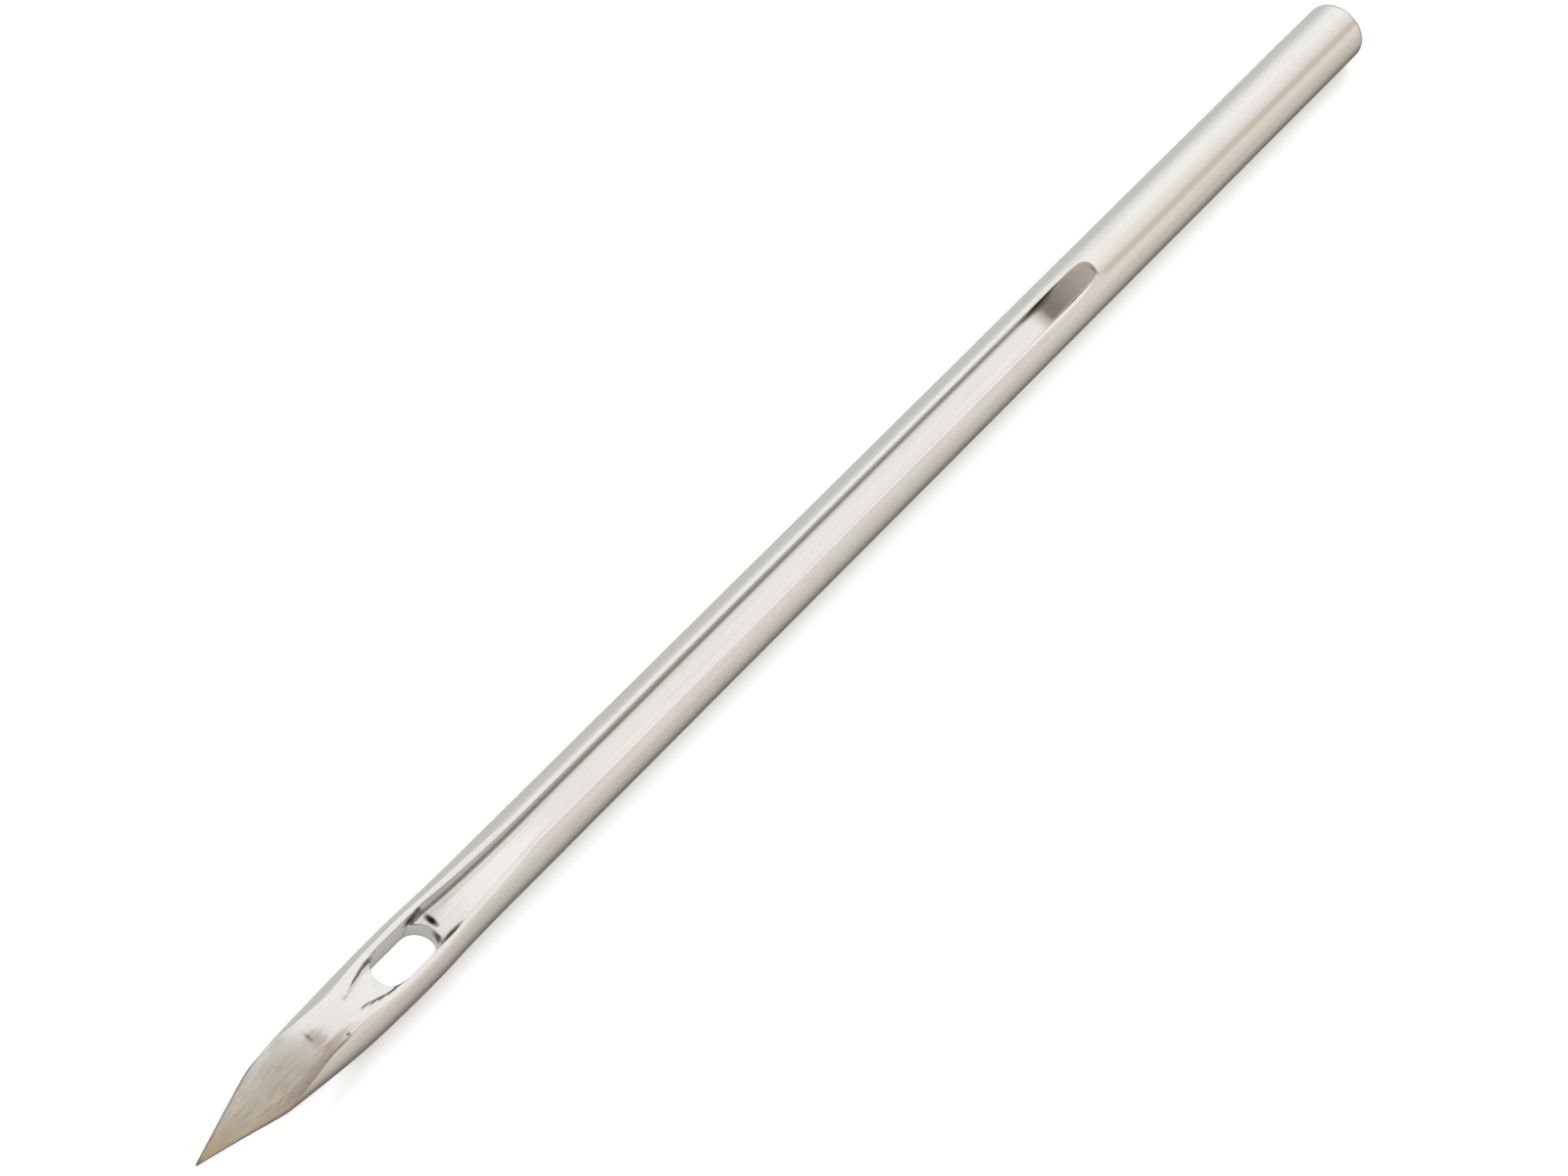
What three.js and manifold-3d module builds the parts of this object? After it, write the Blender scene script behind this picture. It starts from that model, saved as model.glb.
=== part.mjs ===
// Sewing awl needle, one piece of hardened steel wire.
// Millimetres. The origin is the centre of the butt's flat end, +X runs from the point to the butt,
// and +Z is up through the eye, on the side that has the long thread groove.
// Names that end in FromTip are distances from the point along the needle.
// Depths are measured down from the surface of the round shank.

import * as THREE from 'three';
import { mergeVertices } from 'three/addons/utils/BufferGeometryUtils.js';
import Module from 'manifold-3d';

// Whole needle
const overallLength = 69.2;
const shankDiameter = 2.5;
const buttRounding = 0.46;

// Spear point: straight cutting edges up to a shoulder, then an ogive up to the swell.
// Its cutting edges lie above the needle's axis, because it is ground more from below.
const tipWidth = 0.08;
const tipThickness = 0.05;
const tipHeight = 0.13;
const shoulderFromTip = 3.5;
const shoulderWidth = 1.98;
const shoulderHeight = 0.44;
const shoulderLiftTail = 4.7;
const ogiveSlope = 0.1;

// Ground faces of the point, crowned across
const topFaceSlope = 0.19;
const bottomFaceSlope = 0.19;
const faceCrownRadius = 1.5;
const faceCrownFade = 3;
const faceRounding = 0.8;
const summitFromTip = 6.9;
const summitDepth = 0.195;

// Swell and pressed flats round the eye
const eyeFromTip = 9.2;
const eyeLength = 3.15;
const eyeWidth = 1.5;
const swellProud = 0.08;
const swellTail = 4.3;
const pressDepth = 0.35;
const pressRounding = 0.7;
const pressTail = 4.5;

// Long thread groove from the eye towards the butt, with a narrow flat land on both sides
const grooveWidth = 1;
const grooveWidthAtEye = 1.44;
const grooveFlareTail = 5.6;
const grooveDepthAtEye = 1.31;
const grooveDepth = 0.85;
const grooveDepthAtEnd = 0.65;
const grooveRampLength = 8.7;
const grooveEndFromButt = 18;
const grooveCutterRadius = 9;
const grooveCornerRadius = 0.15;
const landDepth = 0.175;

// Short spoon-shaped groove from the eye towards the point
const spoonLength = 1.6;
const spoonStartWidth = 0.8;
const spoonWidthAtEye = 1.38;
const spoonDepthAtEye = 0.31;
const spoonCornerRadius = 0.24;
const spoonDepthFade = 1.5;

// Fineness of the facets
const barSides = 48;
const noseSteps = 8;
const curveSteps = 8;
const crownSteps = 22;
const eyeSteps = 12;
const cornerSteps = 4;
const grooveSteps = 8;

// Points closer than this are one point, and a cut runs this share past the surface that it leaves
const weldDistance = 1e-5;
const overrun = 0.15;

const shankRadius = shankDiameter / 2;
const swellRadius = shankRadius + swellProud;
const summitHeight = shankRadius - summitDepth;
const pressedHeight = shankRadius - pressDepth;
const landHeight = shankRadius - landDepth;
const eyeMiddleFromTip = eyeFromTip + eyeLength / 2;
const eyeEndFromTip = eyeFromTip + eyeLength;
const grooveEndFromTip = overallLength - grooveEndFromButt;
const outside = swellRadius + shankRadius;

const wasm = await Module();
wasm.setup();

// A closed geometry as a solid that can be cut and joined.
function solidOf(geometry) {
  geometry.deleteAttribute('normal');
  geometry.deleteAttribute('uv');
  const merged = mergeVertices(geometry, weldDistance);
  return new wasm.Manifold(new wasm.Mesh({
    numProp: 3,
    vertProperties: new Float32Array(merged.attributes.position.array),
    triVerts: new Uint32Array(merged.index.array),
  }));
}

// The triangles of a solid as a geometry with flat faces.
function geometryOf(solid) {
  const mesh = solid.getMesh();
  const indexed = new THREE.BufferGeometry();
  indexed.setAttribute('position', new THREE.BufferAttribute(mesh.vertProperties, 3));
  indexed.setIndex(new THREE.BufferAttribute(mesh.triVerts, 1));
  const flat = indexed.toNonIndexed();
  flat.computeVertexNormals();
  return flat;
}

// Moves each point of a geometry up or down by what the function gives for it.
function shiftHeights(geometry, shiftAt) {
  const place = geometry.attributes.position;
  for (let i = 0; i < place.count; i += 1) {
    const height = place.getZ(i);
    place.setZ(i, height + shiftAt(place.getX(i), place.getY(i), height));
  }
}

// Height of the cutting edges above the axis, which fades out behind the shoulder.
function noseHeight(fromTip) {
  if (fromTip < shoulderFromTip) {
    const along = Math.max(0, fromTip / shoulderFromTip);
    return THREE.MathUtils.lerp(tipHeight, shoulderHeight, Math.sin(along * Math.PI / 2));
  }
  const liftEnd = shoulderFromTip + shoulderLiftTail;
  return shoulderHeight * (1 - THREE.MathUtils.smoothstep(fromTip, shoulderFromTip, liftEnd));
}

// Share of the crown that the ground faces have: full as far as the shoulder, none at the summit.
function crownShare(fromTip) {
  const along = (fromTip - shoulderFromTip) / (summitFromTip - shoulderFromTip);
  return (1 - THREE.MathUtils.clamp(along, 0, 1)) ** faceCrownFade;
}

// Evenly spaced places from one distance to another.
function stations(from, to, steps) {
  return Array.from({ length: steps + 1 }, (_, i) => THREE.MathUtils.lerp(from, to, i / steps));
}

// Round bar with its point at X = 0: the nose, the swell at the eye, the shank and the rounded butt.
function roundBar() {
  const shoulderRadius = shoulderWidth / 2;
  const ogiveThird = (eyeMiddleFromTip - shoulderFromTip) / 3;
  const tailThird = swellTail / 3;
  const outline = new THREE.Path();
  outline.moveTo(0, 0);
  for (const fromTip of stations(0, shoulderFromTip, noseSteps)) {
    const along = fromTip / shoulderFromTip;
    outline.lineTo(THREE.MathUtils.lerp(tipWidth / 2, shoulderRadius, along), fromTip);
  }
  outline.bezierCurveTo(
    shoulderRadius + ogiveSlope * ogiveThird, shoulderFromTip + ogiveThird,
    swellRadius, eyeMiddleFromTip - ogiveThird,
    swellRadius, eyeMiddleFromTip,
  );
  outline.bezierCurveTo(
    swellRadius, eyeMiddleFromTip + tailThird,
    shankRadius, eyeMiddleFromTip + tailThird,
    shankRadius, eyeMiddleFromTip + swellTail,
  );
  outline.lineTo(shankRadius, overallLength - buttRounding);
  outline.absarc(
    shankRadius - buttRounding, overallLength - buttRounding, buttRounding, 0, Math.PI / 2, false,
  );
  outline.lineTo(0, overallLength);
  const bar = new THREE.LatheGeometry(outline.getPoints(curveSteps), barSides);
  bar.rotateZ(-Math.PI / 2);
  shiftHeights(bar, (fromTip) => noseHeight(fromTip));
  return solidOf(bar);
}

// Slab that the bar is ground and pressed down to, with its point at X = 0.
// Along the top: the crowned face of the point, a summit, the flat at the eye, and the groove's land.
function flatsSlab() {
  const topTip = tipHeight + tipThickness / 2;
  const bottomTip = tipHeight - tipThickness / 2;
  const ahead = tipThickness;
  const topFaceEnd = (summitHeight - topTip) / topFaceSlope;
  const pressEnd = eyeEndFromTip + pressTail;
  const cutterRise = landDepth * (2 * grooveCutterRadius - landDepth);
  const landEnd = grooveEndFromTip - Math.sqrt(cutterRise);
  const bottomFaceEnd = (bottomTip + pressedHeight) / bottomFaceSlope;
  const beyond = overallLength + outside;

  const side = new THREE.Shape();
  side.moveTo(-ahead, topTip - topFaceSlope * ahead);
  for (const fromTip of stations(0, topFaceEnd - faceRounding, noseSteps)) {
    side.lineTo(fromTip, topTip + topFaceSlope * fromTip);
  }
  side.quadraticCurveTo(
    topFaceEnd, summitHeight,
    summitFromTip, summitHeight,
  );
  side.bezierCurveTo(
    summitFromTip + pressRounding, summitHeight,
    eyeFromTip - pressRounding, pressedHeight,
    eyeFromTip + pressRounding, pressedHeight,
  );
  side.lineTo(eyeEndFromTip - pressRounding, pressedHeight);
  side.quadraticCurveTo(
    eyeEndFromTip + 2 * pressRounding, pressedHeight,
    pressEnd, landHeight,
  );
  side.lineTo(landEnd, landHeight);
  side.quadraticCurveTo(
    (landEnd + grooveEndFromTip) / 2, landHeight,
    grooveEndFromTip, shankRadius,
  );
  side.lineTo(grooveEndFromTip + outside, outside);
  side.lineTo(beyond, outside);
  side.lineTo(beyond, -outside);
  side.lineTo(pressEnd + outside, -outside);
  side.lineTo(pressEnd, -shankRadius);
  side.quadraticCurveTo(
    eyeEndFromTip + 2 * pressRounding, -pressedHeight,
    eyeEndFromTip - pressRounding, -pressedHeight,
  );
  side.lineTo(bottomFaceEnd + faceRounding, -pressedHeight);
  side.quadraticCurveTo(
    bottomFaceEnd, -pressedHeight,
    bottomFaceEnd - faceRounding, bottomFaceSlope * faceRounding - pressedHeight,
  );
  for (const fromTip of stations(bottomFaceEnd - faceRounding, 0, noseSteps)) {
    side.lineTo(fromTip, bottomTip - bottomFaceSlope * fromTip);
  }
  side.lineTo(-ahead, bottomTip + bottomFaceSlope * ahead);

  const slab = new THREE.ExtrudeGeometry(side, {
    depth: 2 * outside,
    steps: crownSteps,
    curveSegments: curveSteps,
    bevelEnabled: false,
  });
  slab.translate(0, 0, -outside);
  slab.rotateX(Math.PI / 2);
  shiftHeights(slab, (fromTip, across, height) => {
    const drop = crownShare(fromTip) * across ** 2 / (2 * faceCrownRadius);
    const middle = noseHeight(fromTip);
    const room = Math.abs(height - middle) - tipThickness / 4;
    return Math.sign(middle - height) * Math.min(drop, room);
  });
  return solidOf(slab);
}

// Stadium-shaped eye, punched straight through.
function eyePunch() {
  const radius = eyeWidth / 2;
  const outline = new THREE.Shape();
  outline.absarc(eyeFromTip + radius, 0, radius, Math.PI / 2, 1.5 * Math.PI, false);
  outline.absarc(eyeEndFromTip - radius, 0, radius, -Math.PI / 2, Math.PI / 2, false);
  const punch = new THREE.ExtrudeGeometry(outline, {
    depth: 2 * outside,
    curveSegments: eyeSteps,
    bevelEnabled: false,
  });
  punch.translate(0, 0, -outside);
  return solidOf(punch);
}

// Outline across a groove as [y, z] points: open upwards, with rounded corners at the floor.
function grooveSection(width, floor, cornerRadius) {
  const half = width / 2;
  const radius = Math.min(cornerRadius, half);
  const left = [[-half, outside]];
  for (let i = 0; i <= cornerSteps; i += 1) {
    const angle = Math.PI + (i / cornerSteps) * Math.PI / 2;
    left.push([
      -half + radius + radius * Math.cos(angle),
      floor + radius + radius * Math.sin(angle),
    ]);
  }
  const right = left.map(([y, z]) => [-y, z]).reverse();
  return left.concat(right);
}

// Solid through a row of sections that stand across the needle.
function loft(sections) {
  const count = sections[0].outline.length;
  const positions = [];
  const index = [];
  for (const { fromTip, outline } of sections) {
    for (const [y, z] of outline) {
      positions.push(fromTip, y, z);
    }
  }
  for (let s = 0; s + 1 < sections.length; s += 1) {
    for (let i = 0; i < count; i += 1) {
      const a = s * count + i;
      const b = s * count + (i + 1) % count;
      index.push(a, b, a + count, b, b + count, a + count);
    }
  }
  const last = (sections.length - 1) * count;
  for (let i = 1; i + 1 < count; i += 1) {
    index.push(0, i + 1, i);
    index.push(last, last + i, last + i + 1);
  }
  const geometry = new THREE.BufferGeometry();
  geometry.setAttribute('position', new THREE.Float32BufferAttribute(positions, 3));
  geometry.setIndex(index);
  return solidOf(geometry);
}

// Long thread groove: deepest at the eye, then a nearly level floor, then the cutter's run-out.
function threadGroove() {
  const rampEnd = eyeEndFromTip + grooveRampLength;
  const floorAtEye = shankRadius - grooveDepthAtEye;
  const floorAfterRamp = shankRadius - grooveDepth;
  const floorAtEnd = shankRadius - grooveDepthAtEnd;
  const cutterRise = grooveDepthAtEnd * (2 * grooveCutterRadius - grooveDepthAtEnd);
  const cutterFromTip = grooveEndFromTip - Math.sqrt(cutterRise);
  const runOutReach = (1 + overrun) * Math.sqrt(cutterRise);

  const widthAt = (fromTip) => {
    const along = THREE.MathUtils.clamp((fromTip - eyeEndFromTip) / grooveFlareTail, 0, 1);
    return THREE.MathUtils.lerp(grooveWidthAtEye, grooveWidth, 1 - (1 - along) ** 2);
  };
  const floorAt = (fromTip) => {
    if (fromTip < rampEnd) {
      const along = Math.max(0, (fromTip - eyeEndFromTip) / grooveRampLength);
      return THREE.MathUtils.lerp(floorAtEye, floorAfterRamp, Math.sin(along * Math.PI / 2));
    }
    if (fromTip < cutterFromTip) {
      const along = (fromTip - rampEnd) / (cutterFromTip - rampEnd);
      return THREE.MathUtils.lerp(floorAfterRamp, floorAtEnd, along);
    }
    const drop = Math.sqrt(grooveCutterRadius ** 2 - (fromTip - cutterFromTip) ** 2);
    return floorAtEnd + grooveCutterRadius - drop;
  };

  const places = [
    eyeMiddleFromTip,
    ...stations(eyeEndFromTip, rampEnd, grooveSteps),
    ...stations(cutterFromTip, cutterFromTip + runOutReach, grooveSteps),
  ];
  return loft(places.map((fromTip) => ({
    fromTip,
    outline: grooveSection(widthAt(fromTip), floorAt(fromTip), grooveCornerRadius),
  })));
}

// Spoon-shaped groove that fades in on the point's side and deepens and widens into the eye.
function spoonGroove() {
  const start = eyeFromTip - spoonLength;
  const places = [...stations(start, eyeFromTip, grooveSteps), eyeMiddleFromTip];
  return loft(places.map((fromTip) => {
    const along = THREE.MathUtils.clamp((fromTip - start) / spoonLength, 0, 1);
    const surface = THREE.MathUtils.lerp(
      summitHeight, pressedHeight, THREE.MathUtils.smoothstep(fromTip, summitFromTip, eyeFromTip),
    );
    const width = THREE.MathUtils.lerp(spoonStartWidth, spoonWidthAtEye, along);
    const floor = surface - spoonDepthAtEye * along ** spoonDepthFade;
    return { fromTip, outline: grooveSection(width, floor, spoonCornerRadius) };
  }));
}

const polishedSteel = new THREE.MeshStandardMaterial({
  name: 'polished_steel',
  color: 0xcfcdc8,
  roughness: 0.28,
  metalness: 1,
});

const needleSolid = roundBar()
  .intersect(flatsSlab())
  .subtract(eyePunch())
  .subtract(threadGroove())
  .subtract(spoonGroove())
  .translate([-overallLength, 0, 0]);

const needle = new THREE.Mesh(geometryOf(needleSolid), polishedSteel);
needle.name = 'needle';

const group = new THREE.Group();
group.add(needle);

export default group;
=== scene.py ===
"""Sewing awl needle: one piece of ground, pressed and milled steel wire on a white table."""
import logging
import math
from dataclasses import dataclass, field
from enum import Enum, auto
from functools import lru_cache
from typing import Callable, Sequence

import bmesh
import bpy
from mathutils import Matrix, Vector


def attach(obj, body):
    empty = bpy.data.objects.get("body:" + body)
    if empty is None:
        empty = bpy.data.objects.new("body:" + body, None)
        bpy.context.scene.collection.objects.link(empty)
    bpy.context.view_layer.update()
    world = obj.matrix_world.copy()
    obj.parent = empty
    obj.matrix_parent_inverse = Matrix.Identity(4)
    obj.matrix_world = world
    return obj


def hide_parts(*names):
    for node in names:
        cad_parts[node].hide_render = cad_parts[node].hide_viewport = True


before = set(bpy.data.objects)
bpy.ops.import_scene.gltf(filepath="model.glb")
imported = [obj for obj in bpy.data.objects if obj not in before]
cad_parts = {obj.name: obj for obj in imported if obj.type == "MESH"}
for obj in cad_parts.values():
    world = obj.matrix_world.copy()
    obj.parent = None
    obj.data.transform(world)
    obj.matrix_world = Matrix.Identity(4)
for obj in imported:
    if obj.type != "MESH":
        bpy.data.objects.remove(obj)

LOG = logging.getLogger("awl_needle")

METRES = 0.001
QUARTER = math.pi / 2

# Halvings that find a crossing to well under a micrometre
HALVINGS = 26

# Points closer than this are one point, in millimetres
MERGE_DISTANCE = 1e-5

Point = tuple[float, float]


# Small sums used by every shape

def clamp(value: float, low: float, high: float) -> float:
    """Returns the value held between the two limits."""
    return max(low, min(high, value))


def mix(start: float, end: float, share: float) -> float:
    """Returns the number that lies at a share of the way from start to end."""
    return start + (end - start) * share


def part_way(value: float, start: float, end: float) -> float:
    """Returns 0 before start, 1 after end, and an even rise between them."""
    return clamp((value - start) / (end - start), 0.0, 1.0)


def ease(value: float, start: float, end: float) -> float:
    """Returns 0 before start, 1 after end, and a smooth rise between them."""
    share = part_way(value, start, end)
    return share * share * (3 - 2 * share)


def soft_min(first: float, second: float, band: float) -> float:
    """Takes the lower of two numbers, rounded off where they are close.

    Args:
        first: One number.
        second: The other number.
        band: How far apart the two are where the rounding starts.

    Returns:
        The lower number, or a little less inside the band.
    """
    near = max(band - abs(first - second), 0.0) / band
    return min(first, second) - near * near * band / 4


def worn(rim: float, gap: float) -> float:
    """Returns how far a rounded edge of a radius lowers the skin at a gap from the edge."""
    left = clamp(rim - gap, 0.0, rim)
    return rim - math.sqrt(rim * rim - left * left)


def crossing(rising: Callable[[float], float], low: float, high: float) -> float:
    """Finds where a rising function passes zero, by halving.

    Args:
        rising: The function.
        low: Where to start looking.
        high: Where to stop looking.

    Returns:
        The place of the crossing, or the nearer limit if there is none.
    """
    for _ in range(HALVINGS):
        middle = (low + high) / 2
        if rising(middle) < 0:
            low = middle
        else:
            high = middle
    return (low + high) / 2


def bezier(points: Sequence[Point], share: float) -> Point:
    """Finds a point of a Bezier curve.

    Args:
        points: The curve's control points.
        share: How far along the curve the point is, from 0 to 1.

    Returns:
        The point.
    """
    while len(points) > 1:
        points = [
            (mix(a[0], b[0], share), mix(a[1], b[1], share))
            for a, b in zip(points, points[1:])
        ]
    return points[0]


@dataclass(frozen=True)
class SideLine:
    """A line along the needle's side view, made of curves that follow each other.

    Attributes:
        curves: The control points of each curve, as distance from the tip and height.
    """

    curves: tuple[tuple[Point, ...], ...]

    def at(self, from_tip: float) -> float:
        """Finds the line's height.

        Args:
            from_tip: Distance from the tip in millimetres.

        Returns:
            The height there in millimetres.
        """
        curve = next((c for c in self.curves if from_tip <= c[-1][0]), self.curves[-1])
        start, end = curve[0][0], curve[-1][0]
        share = part_way(from_tip, start, end)
        if len(curve) > 2:
            share = crossing(lambda t: bezier(curve, t)[0] - from_tip, 0.0, 1.0)
        return bezier(curve, share)[1]


# The features of the needle, in millimetres

@dataclass(frozen=True)
class Bar:
    """The round wire with its nose, its swell at the eye, its shank and its rounded butt.

    Attributes:
        length: The needle's length.
        radius: The shank's radius.
        butt_rounding: Radius of the rounding between the shank and the butt's flat end.
        tip_radius: Radius of the nose's blunt end.
        shoulder_from_tip: Distance from the tip at which the nose's cone ends.
        shoulder_radius: The bar's radius at that shoulder.
        shoulder_softness: Rounding band of the shoulder.
        ogive_slope: How steeply the radius still grows just behind the shoulder.
        swell_from_tip: Distance from the tip of the swell's middle.
        swell_radius: The bar's radius at the swell.
        swell_tail: Distance over which the swell fades into the shank.
        tip_height: Height of the tip above the shank's axis.
        shoulder_height: Height of the two cutting edges at the shoulder.
        lift_tail: Distance behind the shoulder over which the edges come down to the axis.
    """

    length: float = 69.2
    radius: float = 1.25
    butt_rounding: float = 0.46
    tip_radius: float = 0.04
    shoulder_from_tip: float = 3.5
    shoulder_radius: float = 0.99
    shoulder_softness: float = 0.06
    ogive_slope: float = 0.1
    swell_from_tip: float = 10.775
    swell_radius: float = 1.325
    swell_tail: float = 4.3
    tip_height: float = 0.13
    shoulder_height: float = 0.44
    lift_tail: float = 4.7

    def outline(self) -> SideLine:
        """Returns the bar's radius behind the shoulder as a line along the needle."""
        ogive = (self.swell_from_tip - self.shoulder_from_tip) / 3
        tail = self.swell_tail / 3
        start, middle = self.shoulder_from_tip, self.swell_from_tip
        end = middle + self.swell_tail
        return SideLine((
            (
                (start, self.shoulder_radius),
                (start + ogive, self.shoulder_radius + self.ogive_slope * ogive),
                (middle - ogive, self.swell_radius),
                (middle, self.swell_radius),
            ),
            (
                (middle, self.swell_radius),
                (middle + tail, self.swell_radius),
                (middle + tail, self.radius),
                (end, self.radius),
            ),
            ((end, self.radius), (self.length, self.radius)),
        ))

    def radius_at(self, from_tip: float) -> float:
        """Finds the bar's radius: the nose's cone, the ogive, the shank or the butt's rounding.

        Args:
            from_tip: Distance from the tip.

        Returns:
            The radius.
        """
        rise = (self.shoulder_radius - self.tip_radius) / self.shoulder_from_tip
        nose = self.tip_radius + rise * from_tip
        if from_tip < self.shoulder_from_tip:
            beyond = self.shoulder_radius + self.ogive_slope * (from_tip - self.shoulder_from_tip)
            return soft_min(nose, beyond, self.shoulder_softness)
        into_butt = from_tip - (self.length - self.butt_rounding)
        if into_butt > 0:
            rest = math.sqrt(max(self.butt_rounding ** 2 - into_butt ** 2, 0.0))
            return self.radius - self.butt_rounding + rest
        return soft_min(nose, self.outline().at(from_tip), self.shoulder_softness)

    def middle_at(self, from_tip: float) -> float:
        """Finds the height of the cutting edges, and so of the section's middle.

        Args:
            from_tip: Distance from the tip.

        Returns:
            The height above the shank's axis.
        """
        if from_tip < self.shoulder_from_tip:
            share = math.sin(part_way(from_tip, 0.0, self.shoulder_from_tip) * QUARTER)
            return mix(self.tip_height, self.shoulder_height, share)
        start = self.shoulder_from_tip
        return self.shoulder_height * (1 - ease(from_tip, start, start + self.lift_tail))


@dataclass(frozen=True)
class Eye:
    """The stadium-shaped eye, punched straight through, with worn rims.

    Attributes:
        from_tip: Distance from the tip of the eye's front end.
        length: The eye's length along the needle.
        half_width: Half the eye's width, which is the radius of its ends too.
        rim: Radius of the worn rims.
        row_reach: How far off the eye the rows of points start to bend round its ends.
    """

    from_tip: float = 9.2
    length: float = 3.15
    half_width: float = 0.75
    rim: float = 0.045
    row_reach: float = 1.75

    @property
    def front(self) -> float:
        """Distance from the tip of the front end's centre."""
        return self.from_tip + self.half_width

    @property
    def back(self) -> float:
        """Distance from the tip of the back end's centre."""
        return self.from_tip + self.length - self.half_width

    def gap(self, from_tip: float, across: float) -> float:
        """Returns how far a point outside the eye lies from the eye's outline."""
        along = from_tip - clamp(from_tip, self.front, self.back)
        return math.hypot(along, across) - self.half_width

    def bend(self, row: float, share: float) -> float:
        """Finds how far a row of points near the eye bends along its round ends.

        Args:
            row: Distance from the tip of the unbent row.
            share: Place across, from 0 on the needle's middle to 1 at the eye's side.

        Returns:
            The shift along the needle in millimetres.
        """
        bulge = self.half_width * math.sqrt(max(1 - share * share, 0.0))
        before = clamp(1 - (self.front - row) / self.row_reach, 0.0, 1.0)
        after = clamp(1 - (row - self.back) / self.row_reach, 0.0, 1.0)
        if row <= self.front:
            return -bulge * before
        if row >= self.back:
            return bulge * after
        return bulge * mix(-1.0, 1.0, (row - self.front) / (self.back - self.front))


@dataclass(frozen=True)
class Faces:
    """The ground faces of the spear point, the pressed flats at the eye and the groove's land.

    Attributes:
        bar: The bar that the faces are on.
        eye: The eye that the pressed flats lie round.
        tip_thickness: Thickness of the tip's blunt end.
        face_slope: How steeply the ground faces rise from the tip.
        face_rounding: Distance over which a ground face levels off.
        crown_radius: Radius of the ground faces across, at the shoulder and before it.
        crown_fade: Power with which the crown fades between shoulder and summit.
        summit_from_tip: Distance from the tip of the highest place of the top face.
        summit_height: Height of that place.
        pressed_height: Height of the pressed flats, on the top and on the underside.
        press_rounding: Length of the bends that lead to the flats.
        press_tail: Distance behind the eye over which the flats run out.
        land_height: Height of the land beside the thread groove.
        groove_end: Distance from the tip of the thread groove's end.
        land_rise_radius: Radius of the arc on which the land rises to the round shank.
        edge_softness: Rounding band of the spear's edges.
        press_softness: Rounding band of the pressed flats' edges.
        land_softness: Rounding band of the land's edges.
    """

    bar: Bar
    eye: Eye
    tip_thickness: float = 0.05
    face_slope: float = 0.19
    face_rounding: float = 0.8
    crown_radius: float = 1.5
    crown_fade: float = 3.0
    summit_from_tip: float = 6.9
    summit_height: float = 1.055
    pressed_height: float = 0.9
    press_rounding: float = 0.7
    press_tail: float = 4.5
    land_height: float = 1.075
    groove_end: float = 51.2
    land_rise_radius: float = 9.0
    edge_softness: float = 0.006
    press_softness: float = 0.05
    land_softness: float = 0.012

    def top_line(self) -> SideLine:
        """Returns the top of the side view: face, summit, pressed flat, land and run-out."""
        tip = self.bar.tip_height + self.tip_thickness / 2
        face_end = (self.summit_height - tip) / self.face_slope
        bend = face_end - self.face_rounding
        eye_start, eye_end = self.eye.from_tip, self.eye.from_tip + self.eye.length
        soft = self.press_rounding
        depth = self.bar.radius - self.land_height
        land_end = self.groove_end - math.sqrt(depth * (2 * self.land_rise_radius - depth))
        return SideLine((
            ((0.0, tip), (bend, tip + self.face_slope * bend)),
            (
                (bend, tip + self.face_slope * bend),
                (face_end, self.summit_height),
                (self.summit_from_tip, self.summit_height),
            ),
            (
                (self.summit_from_tip, self.summit_height),
                (self.summit_from_tip + soft, self.summit_height),
                (eye_start - soft, self.pressed_height),
                (eye_start + soft, self.pressed_height),
            ),
            ((eye_start + soft, self.pressed_height), (eye_end - soft, self.pressed_height)),
            (
                (eye_end - soft, self.pressed_height),
                (eye_end + 2 * soft, self.pressed_height),
                (eye_end + self.press_tail, self.land_height),
            ),
            ((eye_end + self.press_tail, self.land_height), (land_end, self.land_height)),
            (
                (land_end, self.land_height),
                ((land_end + self.groove_end) / 2, self.land_height),
                (self.groove_end, self.bar.radius),
            ),
            (
                (self.groove_end, self.bar.radius),
                (self.bar.length, self.bar.radius + self.bar.length - self.groove_end),
            ),
        ))

    def under_line(self) -> SideLine:
        """Returns the underside of the side view: ground face, pressed flat and its run-out."""
        tip = self.bar.tip_height - self.tip_thickness / 2
        low = -self.pressed_height
        face_end = (tip - low) / self.face_slope
        bend, rise = face_end - self.face_rounding, self.face_slope * self.face_rounding
        eye_end, soft = self.eye.from_tip + self.eye.length, self.press_rounding
        press_end = eye_end + self.press_tail
        return SideLine((
            ((0.0, tip), (bend, low + rise)),
            ((bend, low + rise), (face_end, low), (face_end + self.face_rounding, low)),
            ((face_end + self.face_rounding, low), (eye_end - soft, low)),
            ((eye_end - soft, low), (eye_end + 2 * soft, low), (press_end, -self.bar.radius)),
            ((press_end, -self.bar.radius), (self.bar.length, -self.bar.length)),
        ))

    def crown_at(self, from_tip: float) -> float:
        """Returns how much of the crown across the faces is there, from 1 to 0."""
        start, end = self.bar.shoulder_from_tip, self.summit_from_tip
        return (1 - part_way(from_tip, start, end)) ** self.crown_fade

    def softness_at(self, from_tip: float) -> float:
        """Finds how softly the faces turn into the round side.

        Args:
            from_tip: Distance from the tip.

        Returns:
            The rounding band of the edges.
        """
        pressed_from_tip = self.summit_from_tip + self.press_rounding
        rise = ease(from_tip, self.bar.shoulder_from_tip, pressed_from_tip)
        fall = ease(from_tip, self.eye.back, self.eye.back + self.press_tail)
        ground = mix(self.edge_softness, self.press_softness, rise)
        return mix(ground, self.land_softness, fall)


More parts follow.
